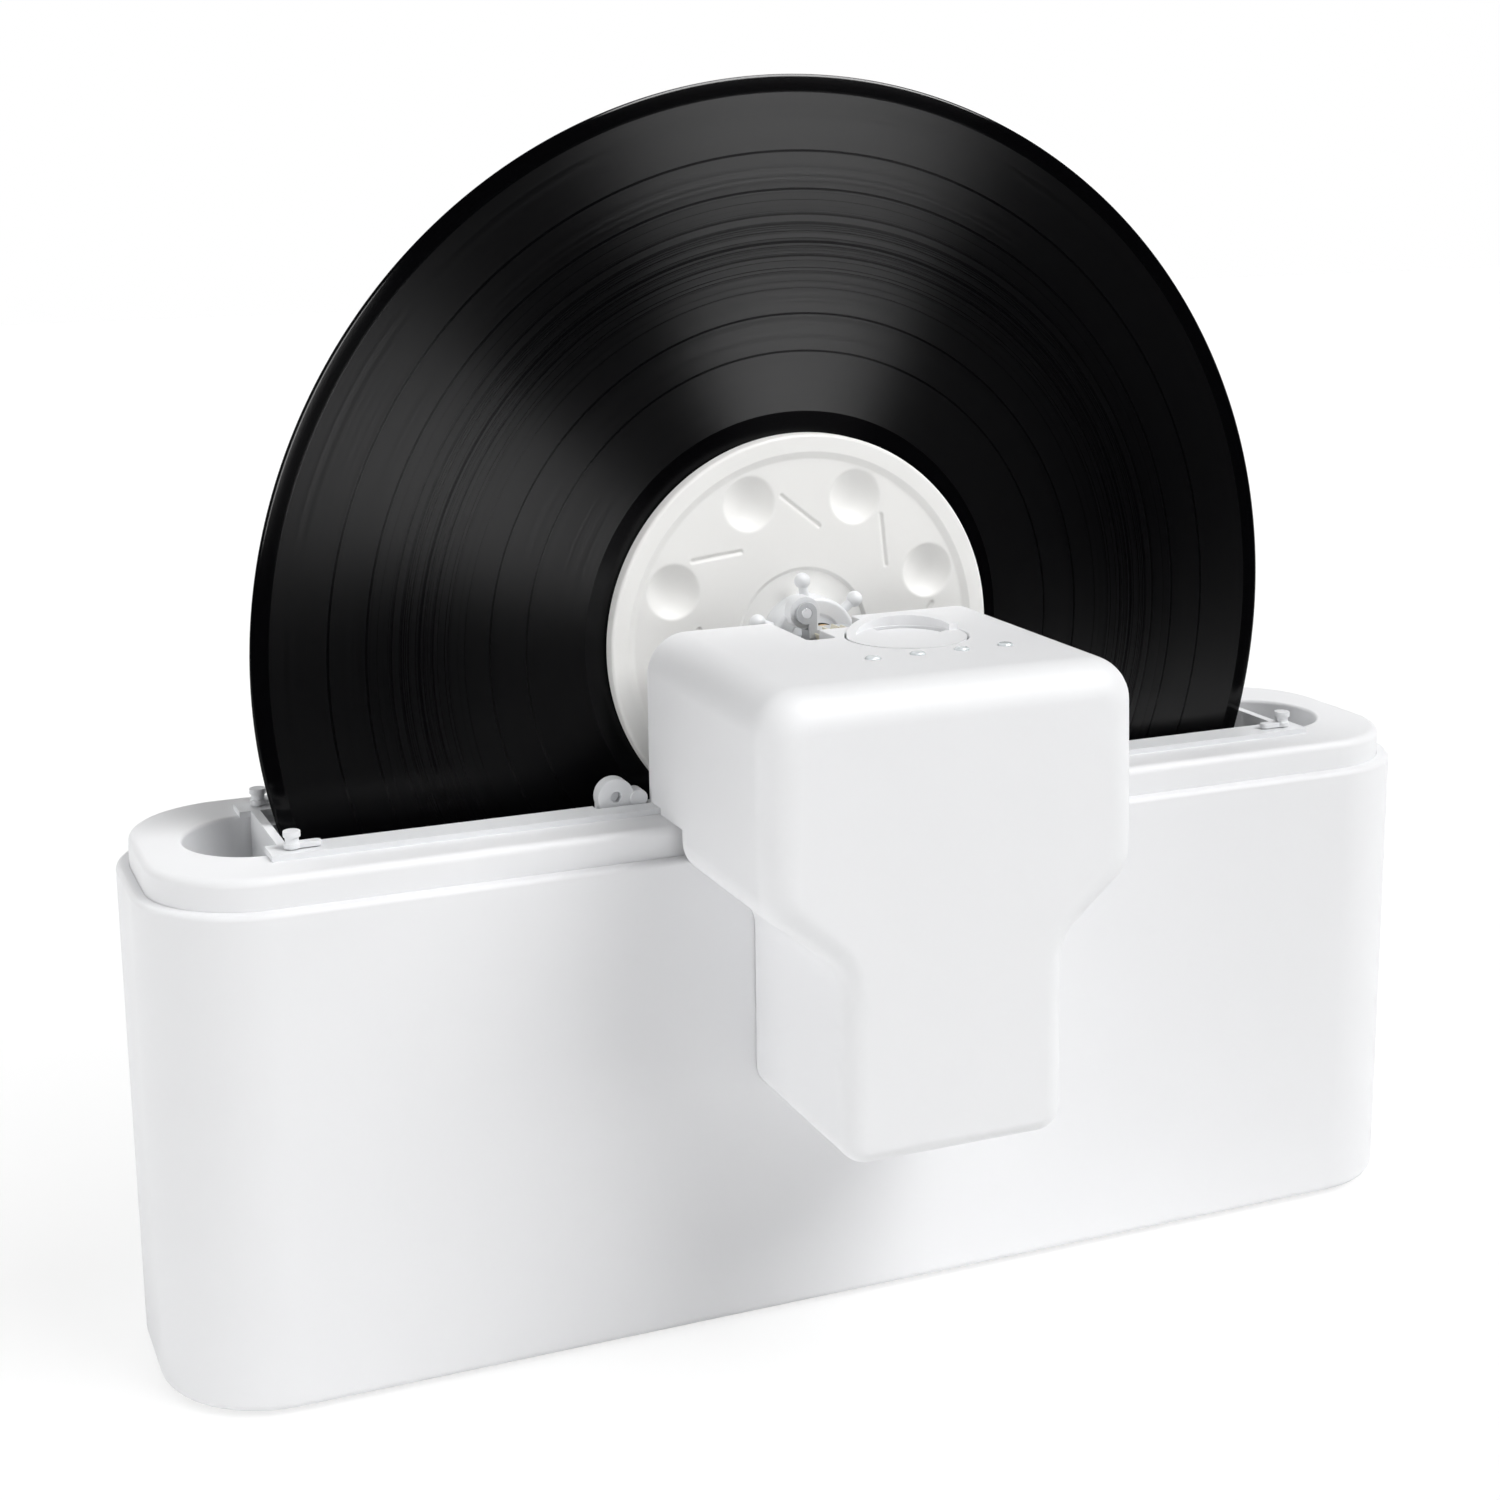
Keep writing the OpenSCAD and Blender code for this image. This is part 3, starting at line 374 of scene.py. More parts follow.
def place(piece, body, slot, finish, *nodes):
    """Gives a finished piece its finish and its body, and hides the CAD nodes that it stands for; the slot is
    not used.
    """
    piece.data.materials.clear()
    piece.data.materials.append(finish_of(finish))
    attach(piece, body)
    if nodes:
        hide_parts(*nodes)
    return piece


# Node trees: a short way to write them, and the materials


# The record's rings, in waves per metre of radius, and the radius in metres at which it is shiniest.
BROAD_RINGS, FINE_RINGS = 640.0, 5200.0
SHINIEST_RADIUS = 0.108


class Nodes:
    """A short way to write a node tree; a kind without the word Node is one of the tree's family."""

    def __init__(self, tree, family):
        self.tree = tree
        self.family = family

    def plug(self, target, value):
        """Links an input to an output, or gives it a value of its own."""
        if isinstance(value, bpy.types.NodeSocket):
            self.tree.links.new(value, target)
        else:
            target.default_value = value

    def give(self, node, **values):
        """Sets a node's properties, and plugs its inputs where a name is an input's."""
        for name, value in values.items():
            if hasattr(node, name):
                setattr(node, name, value)
            else:
                self.plug(node.inputs[name.replace("_", " ")], value)
        return node

    def node(self, kind, **values):
        """A new node with its properties and inputs."""
        return self.give(self.tree.nodes.new(kind if "Node" in kind else self.family + kind), **values)

    def math(self, way, first, second=0.0):
        """A sum of one or two numbers or outputs."""
        step = self.node("ShaderNodeMath", operation=way)
        self.plug(step.inputs[0], first)
        self.plug(step.inputs[1], second)
        return step.outputs["Value"]

    def ramp(self, source, low, high, from_low=0.3, from_high=0.7):
        """A number between two values, from a texture's share."""
        return self.node("MapRange", Value=source, From_Min=from_low, From_Max=from_high,
                         To_Min=low, To_Max=high).outputs["Result"]

    def either(self, share_of, first, second):
        """One shader or another, by a share."""
        mix = self.node("MixShader", Fac=share_of)
        self.plug(mix.inputs[1], first)
        self.plug(mix.inputs[2], second)
        return mix.outputs[0]


class Shade(Nodes):
    """A material's node tree round one shader."""

    def __init__(self, name):
        self.material = bpy.data.materials.new(name)
        self.material.use_nodes = True
        super().__init__(self.material.node_tree, "ShaderNode")
        self.tree.nodes.clear()
        self.surface = self.node("BsdfPrincipled")
        self.output = self.node("OutputMaterial", Surface=self.surface.outputs["BSDF"])
        self.place = self.node("TexCoord").outputs["Object"]

    def set(self, **values):
        """Constants and links of the shader's own sockets; gives the material back."""
        self.give(self.surface, **values)
        return self.material

    def noise(self, scale, detail=3.0, rough=0.5, stretch=None):
        """Noise on the piece's own coordinates, at a scale in waves per metre."""
        where = self.place
        if stretch:
            where = self.node("Mapping", Scale=stretch, Vector=where).outputs["Vector"]
        return self.node("TexNoise", Scale=scale, Detail=detail, Roughness=rough,
                         Vector=where).outputs["Fac"]

    def rings(self, radius, waves, detail, rough):
        """Noise that varies with the radius only, at a scale in waves per metre."""
        return self.node("TexNoise", noise_dimensions="1D", Scale=1.0, Detail=detail, Roughness=rough,
                         W=self.math("MULTIPLY", radius, waves)).outputs["Fac"]

    def blend(self, share_of, first, second):
        """A colour between two, by a share."""
        mix = self.node("Mix", data_type="RGBA")
        sockets = [socket for socket in mix.inputs if socket.type == "RGBA"]
        self.plug(mix.inputs[0], share_of)
        sockets[0].default_value = (*first, 1.0)
        sockets[1].default_value = (*second, 1.0)
        return next(socket for socket in mix.outputs if socket.type == "RGBA")

    def bump(self, height, distance, strength=1.0, after=None):
        """A bump in millimetres of height, on top of an earlier one."""
        made = self.node("Bump", Strength=strength, Distance=distance * MM, Height=height)
        if after is not None:
            self.give(made, Normal=after)
        return made.outputs["Normal"]


def tinted(colour_of, factor):
    """A colour made a little darker or lighter."""
    return tuple(min(1.0, channel * factor) for channel in colour_of)


def moulded_plastic(name, base, rough, grain, grain_size, coat=0.0):
    """Moulded plastic: fine grain, faint flow marks and slightly uneven gloss."""
    shade = Shade(name)
    flow = shade.noise(14.0, 3.0, 0.55, (1.0, 1.0, 0.4))
    polish = shade.noise(70.0, 4.0, 0.6)
    waves = shade.bump(shade.noise(22.0, 1.0, 0.4), 0.10, 0.25)
    fine = shade.noise(1.0 / (grain_size * MM), 2.0, 0.6)
    return shade.set(Base_Color=shade.blend(flow, tinted(base, 0.985), tinted(base, 1.012)),
                     Roughness=shade.ramp(polish, rough - 0.035, rough + 0.045),
                     Normal=shade.bump(fine, 0.02, grain, waves),
                     IOR=1.49, Specular_IOR_Level=0.12, Coat_Weight=coat, Coat_Roughness=0.3)


def turned_metal(name, base, rough, pitch, stretch):
    """Metal with small stains and with tool marks at a pitch in millimetres, stretched by three factors."""
    shade = Shade(name)
    stain = shade.noise(180.0, 4.0, 0.65)
    marks = shade.noise(1.0 / (8.0 * pitch * MM), 2.0, 0.5, stretch)
    return shade.set(Base_Color=shade.blend(stain, tinted(base, 0.86), tinted(base, 1.06)),
                     Roughness=shade.ramp(marks, rough - 0.06, rough + 0.10),
                     Normal=shade.bump(marks, 0.02, 0.35), Metallic=1.0)


def rubber_material():
    """Matt rubber of the base pad and the seals."""
    shade = Shade("matt_rubber")
    dust = shade.noise(90.0, 5.0, 0.7)
    return shade.set(Base_Color=shade.blend(dust, (0.030, 0.030, 0.032), (0.055, 0.055, 0.058)),
                     Roughness=shade.ramp(dust, 0.62, 0.8),
                     Normal=shade.bump(shade.noise(1600.0, 2.0, 0.6), 0.04, 0.5))


def vinyl_material(base):
    """Pressed record: uneven fine rings, duller at the rim and the label, and a gloss drawn across them."""
    shade = Shade("pressed_vinyl")
    split = shade.node("SeparateXYZ", Vector=shade.place).outputs
    up = shade.math("SUBTRACT", split["Z"], AXIS_Z * MM)
    radius = shade.math("SQRT", shade.math("ADD", shade.math("MULTIPLY", split["X"], split["X"]),
                                           shade.math("MULTIPLY", up, up)))
    broad = shade.rings(radius, BROAD_RINGS, 5.0, 0.85)
    fine = shade.rings(radius, FINE_RINGS, 3.0, 0.8)
    grooved = shade.node("Attribute", attribute_name="grooved").outputs["Fac"]
    away = shade.math("ABSOLUTE", shade.math("SUBTRACT", radius, SHINIEST_RADIUS))
    wear = shade.math("ADD", shade.ramp(broad, 0.27, 0.42, 0.36, 0.64),
                      shade.ramp(away, -0.05, 0.10, 0.004, 0.036))
    plain = shade.math("MULTIPLY", shade.math("SUBTRACT", 1.0, grooved), 0.14)
    around = shade.node("Tangent", direction_type="UV_MAP", uv_map="rings").outputs["Tangent"]
    height = shade.math("MULTIPLY", fine, grooved)
    return shade.set(Base_Color=shade.blend(broad, tinted(base, 0.8), tinted(base, 1.6)),
                     Roughness=shade.math("ADD", shade.math("MULTIPLY", wear, grooved), plain),
                     Normal=shade.bump(height, 0.05, 0.35), Tangent=around,
                     Anisotropic=1.0, IOR=1.5, Specular_IOR_Level=0.15)


def pile_material(base):
    """Short plush: uneven colour, and a sheen towards grazing angles."""
    shade = Shade("short_plush")
    tufts = shade.noise(900.0, 3.0, 0.7)
    return shade.set(Base_Color=shade.blend(tufts, tinted(base, 0.6), tinted(base, 1.5)),
                     Normal=shade.bump(tufts, 0.3, 0.8), Roughness=0.95, Sheen_Weight=0.6,
                     Sheen_Roughness=0.4)


def board_material():
    """Green solder mask with copper tracks that run under it."""
    shade = Shade("solder_mask")
    tracks = shade.node("TexBrick", offset=0.5, Scale=420.0, Mortar_Size=0.12,
                        Color1=(0.006, 0.070, 0.026, 1.0), Color2=(0.008, 0.085, 0.032, 1.0),
                        Mortar=(0.014, 0.135, 0.050, 1.0), Vector=shade.place)
    return shade.set(Base_Color=tracks.outputs["Color"], Roughness=0.3,
                     Normal=shade.bump(tracks.outputs["Fac"], 0.03, 0.5))


def lens_material(base):
    """Milky lens of a status lamp."""
    shade = Shade("lamp_lens")
    haze = shade.noise(500.0, 2.0, 0.5)
    return shade.set(Base_Color=shade.blend(haze, tinted(base, 0.94), base),
                     Roughness=shade.ramp(haze, 0.08, 0.16), IOR=1.5, Coat_Weight=0.4, Coat_Roughness=0.05)


def make_materials():
    """Every finish of the machine, by name."""
    finish = sizes()[3]
    shell, rails, disc = tuple(finish.shell), tuple(finish.rails), tuple(finish.disc)
    return {
        "shell": moulded_plastic("satin_white_shell", shell, finish.satin, finish.grain, 0.5, 0.03),
        "rails": moulded_plastic("white_frame_plastic", rails, 0.40, 0.12, 0.4, 0.04),
        "disc": moulded_plastic("warm_white_disc", disc, 0.50, 0.16, 0.35),
        "inner": moulded_plastic("grey_inner_plastic", (0.52, 0.53, 0.55), 0.5, 0.2, 0.5),
        "gear": moulded_plastic("natural_acetal", (0.74, 0.71, 0.60), 0.32, 0.08, 0.5, 0.1),
        "dark": moulded_plastic("black_nylon", (0.018, 0.018, 0.020), 0.45, 0.2, 0.4),
        "steel": turned_metal("turned_steel", (0.58, 0.585, 0.60), 0.28, 0.25, (1.0, 40.0, 1.0)),
        "screw": turned_metal("zinc_screw", (0.62, 0.63, 0.65), 0.24, 0.2, (8.0, 8.0, 8.0)),
        "case": turned_metal("plated_sheet", (0.42, 0.425, 0.44), 0.38, 0.6, (6.0, 1.0, 6.0)),
        "bronze": turned_metal("sintered_bronze", (0.50, 0.33, 0.14), 0.36, 0.3, (20.0, 20.0, 20.0)),
        "rubber": rubber_material(),
        "vinyl": vinyl_material(tuple(finish.vinyl)),
        "pile": pile_material(tuple(finish.pile)),
        "board": board_material(),
        "lens": lens_material(tuple(finish.lens)),
    }


MATERIALS = {}


def finish_of(name):
    """A material by its short name; all are made the first time that one is asked for."""
    if not MATERIALS:
        MATERIALS.update(make_materials())
    return MATERIALS[name]


# Node trees: shapes that repeat


def socket_of(tree, name):
    """The identifier of a tree's input."""
    return next(item.identifier for item in tree.interface.items_tree
                if item.item_type == "SOCKET" and item.in_out == "INPUT" and item.name == name)


class Shape(Nodes):
    """A geometry node tree with named inputs, given as (name, kind, default)."""

    def __init__(self, name, *inputs):
        super().__init__(bpy.data.node_groups.new(name, "GeometryNodeTree"), "GeometryNode")
        self.tree.is_modifier = True
        for way in ("INPUT", "OUTPUT"):
            self.tree.interface.new_socket("Geometry", in_out=way, socket_type="NodeSocketGeometry")
        for label, kind, default in inputs:
            socket = self.tree.interface.new_socket(label, in_out="INPUT", socket_type="NodeSocket" + kind)
            if default is not None:
                socket.default_value = default
        self.inputs = self.node("NodeGroupInput").outputs

    def finish(self, geometry, finish):
        """Realises the instances, sets the material and ends the tree."""
        real = self.node("RealizeInstances", Geometry=geometry)
        painted = self.node("SetMaterial", Geometry=real.outputs[0], Material=finish_of(finish))
        self.node("NodeGroupOutput", Geometry=painted.outputs[0])
        return self.tree

    def repeat(self, points, finish, **values):
        """Copies of the unit piece on points, which end the tree."""
        unit = self.node("ObjectInfo", Object=self.inputs["Unit"]).outputs["Geometry"]
        copies = self.node("InstanceOnPoints", Points=points, Instance=unit, **values)
        return self.finish(copies.outputs[0], finish)


def grown(name, tree, values, start=None):
    """A plain mesh from a geometry node tree, set by the names of its inputs."""
    made = linked(name, start.data if start else bpy.data.meshes.new(name))
    step = made.modifiers.new("shape", "NODES")
    step.node_group = tree
    for label, value in values.items():
        step[socket_of(tree, label)] = value
    return settle(made)


def ring_tree(name, finish):
    """Copies of a unit piece on a circle about -Y, each pointing away from the middle."""
    shape = Shape(name, ("Unit", "Object", None), ("Count", "Int", 6), ("Turn", "Float", 0.0))
    points = shape.node("MeshLine", Count=shape.inputs["Count"], Offset=(0.0, 0.0, 0.0))
    step = shape.math("DIVIDE", 2 * math.pi, shape.inputs["Count"])
    angle = shape.math("MULTIPLY", shape.node("InputIndex").outputs[0], step)
    turn = shape.node("ShaderNodeCombineXYZ", Y=shape.math("ADD", angle, shape.inputs["Turn"]))
    return shape.repeat(points.outputs["Mesh"], finish, Rotation=turn.outputs[0])


def spots_tree(name, finish):
    """Copies of a unit piece on the points of a start mesh."""
    shape = Shape(name, ("Unit", "Object", None))
    return shape.repeat(shape.inputs["Geometry"], finish)


def row_tree(name, finish):
    """Copies of a unit piece in a row that runs along X from the unit's own place."""
    shape = Shape(name, ("Unit", "Object", None), ("Count", "Int", 4), ("Pitch", "Float", 0.0124))
    step = shape.node("ShaderNodeCombineXYZ", X=shape.inputs["Pitch"])
    points = shape.node("MeshLine", Count=shape.inputs["Count"], Offset=step.outputs[0])
    return shape.repeat(points.outputs["Mesh"], finish)


def pile_tree(name, finish):
    """Short fibres over the faces of a start mesh that look to one side."""
    shape = Shape(name, ("Density", "Float", 200000.0), ("Length", "Float", 0.0015),
                  ("Radius", "Float", 0.0002), ("Side", "Float", 1.0))
    split = shape.node("ShaderNodeSeparateXYZ", Vector=shape.node("InputNormal").outputs[0])
    towards = shape.math("MULTIPLY", split.outputs["Y"], shape.inputs["Side"])
    scatter = shape.node("DistributePointsOnFaces", Mesh=shape.inputs["Geometry"],
                         Selection=shape.math("GREATER_THAN", towards, 0.5),
                         Density=shape.inputs["Density"], Seed=7).outputs
    fibre = shape.node("MeshCone", fill_type="NONE", Vertices=4, Radius_Top=0.00003,
                       Radius_Bottom=shape.inputs["Radius"], Depth=shape.inputs["Length"])
    lean = shape.node("FunctionNodeRandomValue", data_type="FLOAT_VECTOR", Min=(-0.4, -0.4, 0.0),
                      Max=(0.4, 0.4, 6.28), Seed=11)
    turn = shape.node("FunctionNodeRotateRotation", rotation_space="LOCAL",
                      Rotation=scatter["Rotation"], Rotate_By=lean.outputs[0])
    height = shape.node("FunctionNodeRandomValue", data_type="FLOAT", Seed=5)
    height.inputs[2].default_value, height.inputs[3].default_value = 0.75, 1.1
    copies = shape.node("InstanceOnPoints", Points=scatter["Points"], Instance=fibre.outputs["Mesh"],
                        Rotation=turn.outputs[0], Scale=height.outputs[1])
    return shape.finish(copies.outputs[0], finish)


# Tank: base pad, casing and basin


# Radii of a dowel's head and of its hole, in millimetres.
DOWEL_HEAD, DOWEL_HOLE = 3.0, 2.1


def make_base_pad():
    """The non-slip pad under the casing, with a rounded edge."""
    tank = sizes()[0]
    low, high = box_mm("base_pad")
    corner = (tank.casing_radius - tank.pad_inset) / MM
    edge = rounded([(-6.0, low[2], 0), (0.0, low[2], 0.5), (0.0, high[2], 0.3), (-1.0, high[2], 0)], 4)
    rows = [plan_loop(high[0] + out, high[1] + out, corner + out, z) for out, z in edge]
    return place(smooth(skin("base_pad_rubber", rows)), "tank", "rubber", "rubber", "base_pad")


def make_casing():
    """The tall casing: rounded foot, soft ledge edge, wall and the seat for the basin."""
    tank = sizes()[0]
    half_l, half_w, ledge = CASING_HIGH
    bottom = CASING_LOW[2]
    corner = tank.casing_radius / MM
    wall = tank.casing_wall / MM
    fit = tank.collar_inset / MM - 0.1
    recess = tank.pad_inset / MM - 0.3
    profile = rounded([
        (recess, bottom + 1.2, 0), (recess, bottom, 0.2), (0.0, bottom, tank.foot_round / MM),
        (0.0, ledge, tank.top_round / MM), (fit, ledge, 0.1), (fit, ledge - 1.5, 0), (wall, ledge - 1.8, 0),
        (wall, SEAT_Z, 0), (wall + 4.0, SEAT_Z, 0.5), (wall + 4.0, SEAT_Z - 4.0, 0.5),
        (wall, SEAT_Z - 4.0, 0), (wall, bottom + 3.0, 0)], 7)
    rows = [plan_loop(half_l - inset, half_w - inset, corner - inset, z, 24) for inset, z in profile]
    return place(smooth(skin("outer_casing_shell", rows)), "tank", "white_shell", "shell", "outer_casing")


def make_basin():
    """Collar, flat deck and the long well, in one moulding."""
    tank = sizes()[0]
    half_l, half_w = CASING_HIGH[:2]
    corner = tank.casing_radius / MM
    inset = tank.collar_inset / MM
    deck_t, wall = 2.5, 2.2
    floor = tank.well_floor / MM
    well_l, well_w = tank.well_half_l / MM, tank.well_half_w / MM

    def well(path):
        return [plan_loop(well_l + out, well_w + out, well_w + out, z, 24) for out, z in path]

    def collar(path):
        return [plan_loop(half_l - i, half_w - i, corner - i, z, 24) for i, z in path]

    outside = well(rounded([(wall - 8.0, floor - wall, 0), (wall, floor - wall, 3.0),
                            (wall, DECK_Z - deck_t, 0)]))
    skirt = collar(rounded([(inset + deck_t, DECK_Z - deck_t, 0), (inset + deck_t, SEAT_Z, 0.4),
                            (inset, SEAT_Z, 0.4), (inset, DECK_Z, tank.collar_round / MM),
                            (inset + 5.0, DECK_Z, 0)], 7))
    inside = well(rounded([(4.0, DECK_Z, 0), (0.0, DECK_Z, tank.well_round / MM), (0.0, floor, 4.0),
                           (-8.0, floor, 0)], 7))
    basin = skin("inner_basin_moulding", outside + skirt + inside)
    low, high = box_mm("head_dowels")
    x, y = high[0] - DOWEL_HEAD, (low[1] + high[1]) / 2
    combine(basin, [rod("hole", DOWEL_HOLE, (side * x, y, DECK_Z - 6), (side * x, y, DECK_Z + 2))
                    for side in (-1, 1)])
    return place(smooth(basin), "tank", "white_shell", "shell", "inner_basin")


# Drive head: shell, cover, lamps, dial and what they hold


# Where the cover's screws are, as (x, z) in millimetres, and the radii of their posts and bores.
HEAD_SCREWS = ((41.0, 150.1), (41.0, 174.0))
STEM_SCREW = (21.1, 79.7)
POST_RADIUS, BORE_RADIUS = 3.6, 1.55
# Radii in millimetres of the head's corners, seen from the front.
TOP_CORNER, SHOULDER_CORNER, FOOT_CORNER = 11.0, 10.0, 7.0
LAMP_COUNT, LAMP_RADIUS = 4, 1.9
# Edges in millimetres of the notch that the bearing drops into, and of the pocket in front of it.
NOTCH_LEFT, NOTCH_RIGHT, NOTCH_FRONT = -15.0, 8.5, -31.0
POCKET_RIGHT, POCKET_FRONT = -7.0, -42.0


def prism(name, outline, low, high, axis="Z"):
    """A closed outline pushed along an axis between two heights, for cutting or as a plate."""
    return skin(name, [[(u, v, height) if axis == "Z" else (u, height, v) for u, v in outline]
                       for height in (low, high)])


def flared(name, radius, middle, low, face, edge, up=1.0):
    """A cutter for a round hole whose mouth at the face gets a rounded edge."""
    profile = [(0.0, low), (radius, low)]
    for k in range(7):
        angle = math.pi - k * math.pi / 12
        profile.append((radius + edge + edge * math.cos(angle),
                        face - up * edge + up * edge * math.sin(angle)))
    profile += [(radius + edge, face + up * 3.0), (0.0, face + up * 3.0)]
    return turned(name, profile, 72, middle)


def bevel_some(piece, width, chosen, angle=35.0, segments=3):
    """Rounds only the sharp edges whose middle, in millimetres, passes a test."""
    shape = bmesh.new()
    shape.from_mesh(piece.data)
    limit = math.radians(angle)
    edges = []
    for edge in shape.edges:
        if len(edge.link_faces) != 2 or edge.calc_face_angle(0.0) < limit:
            continue
        middle = (edge.verts[0].co + edge.verts[1].co) / (2 * MM)
        if chosen(middle.x, middle.y, middle.z):
            edges.append(edge)
    bmesh.ops.bevel(shape, geom=edges, offset=width * MM, offset_type="OFFSET", segments=segments,
                    profile=0.5, affect="EDGES", clamp_overlap=False)
    shape.to_mesh(piece.data)
    shape.free()
    return piece


def tidy_mesh(piece, distance=0.01, angle=0.4):
    """Merges close corners and dissolves needless edges after a cut."""
    shape = bmesh.new()
    shape.from_mesh(piece.data)
    bmesh.ops.remove_doubles(shape, verts=shape.verts, dist=distance * MM)
    bmesh.ops.dissolve_limit(shape, angle_limit=math.radians(angle), verts=shape.verts, edges=shape.edges)
    shape.to_mesh(piece.data)
    shape.free()
    return piece


def head_outline(head, top, bottom):
    """The head's front outline with round corners, in even steps, as (x, z, inward x, inward z)."""
    wide, narrow = head.half_w / MM, head.stem_half_w / MM
    low, high = head.shoulder_bottom / MM, head.shoulder_top / MM
    corners = [(wide, top, TOP_CORNER), (-wide, top, TOP_CORNER), (-wide, high, SHOULDER_CORNER),
               (-narrow, low, SHOULDER_CORNER), (-narrow, bottom, FOOT_CORNER),
               (narrow, bottom, FOOT_CORNER), (narrow, low, SHOULDER_CORNER), (wide, high, SHOULDER_CORNER)]
    path = rounded(corners, 12, closed=True)
    dense = []
    for i, here in enumerate(path):
        there = path[(i + 1) % len(path)]
        span = math.dist(here, there)
        steps = max(1, round(span / 2.6))
        dense += [(here[0] + (there[0] - here[0]) * k / steps, here[1] + (there[1] - here[1]) * k / steps)
                  for k in range(steps)]
    result = []
    for i, (x, z) in enumerate(dense):
        x0, z0 = dense[i - 1]
        x1, z1 = dense[(i + 1) % len(dense)]
        run = math.dist((x0, z0), (x1, z1))
        result.append((x, z, -(z1 - z0) / run, (x1 - x0) / run))
    return result


def lamp_row():
    """The row of lamps, in millimetres: x of the first, their pitch and their y."""
    low, high = box_mm("status_lamps")
    pitch = (high[0] - low[0] - 2 * LAMP_RADIUS) / (LAMP_COUNT - 1)
    return low[0] + LAMP_RADIUS, pitch, middle_of(low, high)[1]


def head_rows(outline, edge, inset, back, front):
    """Loops from the back rim over the rounded front edge to the flat front."""
    rows = [[(x + u * inset, back, z + v * inset) for x, z, u, v in outline]]
    for k in range(11):
        angle = k * math.pi / 20
        row = []
        for x, z, u, v in outline:
            radius = edge(z) - inset
            drawn = inset + radius * (1 - math.cos(angle))
            row.append((x + u * drawn, front + inset + radius * (1 - math.sin(angle)), z + v * drawn))
        rows.append(row)
    return rows


def make_head_shell():
    """The head's shell: broad soft edges, shoulders, stem, and the openings in its top."""
    head = sizes()[1]
    top, bottom = HEAD_HIGH[2], HEAD_LOW[2]
    front, back = HEAD_LOW[1], HEAD_HIGH[1]
    wall = head.wall / MM
    rounds = [head.foot_round, head.stem_round, head.stem_round, head.side_round, head.side_round,
              head.top_round]
    heights = [bottom, bottom + 9.0, head.shoulder_bottom / MM, head.shoulder_top / MM, 150.0, top]

    def edge(z):
        return float(np.interp(z, heights, [value / MM for value in rounds]))

    outline = head_outline(head, top, bottom)
    outside = head_rows(outline, edge, 0.0, back, front)
    inside = head_rows(outline, edge, wall, back, front)
    shell = skin("head_shell_moulding", inside[::-1] + outside)
    spots = [(side * x, z, end - wall - 0.3) for side in (-1, 1)
             for (x, z), end in [(spot, back) for spot in HEAD_SCREWS] + [(STEM_SCREW, STEM_BACK)]]
    combine(shell, [rod("post", POST_RADIUS, (x, front + wall - 0.5, z), (x, end, z), 32)
                    for x, z, end in spots], "UNION")
    cuts = [block("room", (-60, STEM_BACK, bottom - 20), (60, 0, DECK_Z)),
            block("room", (-60, -26.1, DECK_Z - 1), (60, 0, DECK_Z + 1.6))]
    for name, right, front_edge, rear, floor in (
            ("notch", NOTCH_RIGHT, NOTCH_FRONT, 1.0, AXIS_Z - 7.2),
            ("pocket", POCKET_RIGHT, POCKET_FRONT, NOTCH_FRONT + 1.0, AXIS_Z + 0.8)):
        plan = rounded([(NOTCH_LEFT, rear, 0), (NOTCH_LEFT, front_edge, 1.2), (right, front_edge, 1.2),
                        (right, rear, 0)], 5)
        cuts.append(prism(name, plan, floor, top + 2))
    low, high = box_mm("dial")
    x, y, _ = middle_of(low, high)
    cuts.append(flared("dial_hole", (high[0] - low[0]) / 2 + 0.5, (x, y, 0.0), top - 8, top, 0.5))
    first, pitch, y = lamp_row()
    cuts += [flared("lamp_hole", LAMP_RADIUS + 0.15, (first + k * pitch, y, 0.0), top - 8, top, 0.3)
             for k in range(LAMP_COUNT)]
    y = middle_of(*box_mm("power_inlet"))[1]
    cuts.append(flared("inlet_hole", 4.4, (0.0, y, 0.0), bottom + 8, bottom, 0.4, -1.0))
    cuts += [rod("bore", BORE_RADIUS, (x, front + wall + 7.2, z), (x, end + 1.0, z), 24)
             for x, z, end in spots]
    tidy_mesh(combine(shell, cuts))

    def softened(x, y, z):
        at_top = z > top - 0.1 and y > POCKET_FRONT - 1.0 and NOTCH_LEFT - 1.0 < x < NOTCH_RIGHT + 1.0
        at_notch = (y > POCKET_FRONT - 0.5 and z > AXIS_Z - 7.5
                    and NOTCH_LEFT - 0.5 < x < NOTCH_RIGHT + 0.5)
        return at_top or at_notch

    bevel_some(shell, head.cut_round / MM, softened)
    return place(smooth(shell), "head", "white_shell", "shell", "head_shell")


def make_head_cover():
    """The back cover, with its upper corners rounded to fit the shell."""
    head = sizes()[1]
    fit = head.wall / MM + 0.3
    outline = [(x + u * fit, z + v * fit) for x, z, u, v in head_outline(head, HEAD_HIGH[2], HEAD_LOW[2])]
    cover = copy_of("head_back_cover", "head_cover_plate")
    combine(cover, [prism("inside", outline, -60.0, 10.0, "Y")], "INTERSECT")
    return place(soften(tidy_mesh(cover), 0.3), "head", "white_shell", "shell", "head_back_cover")


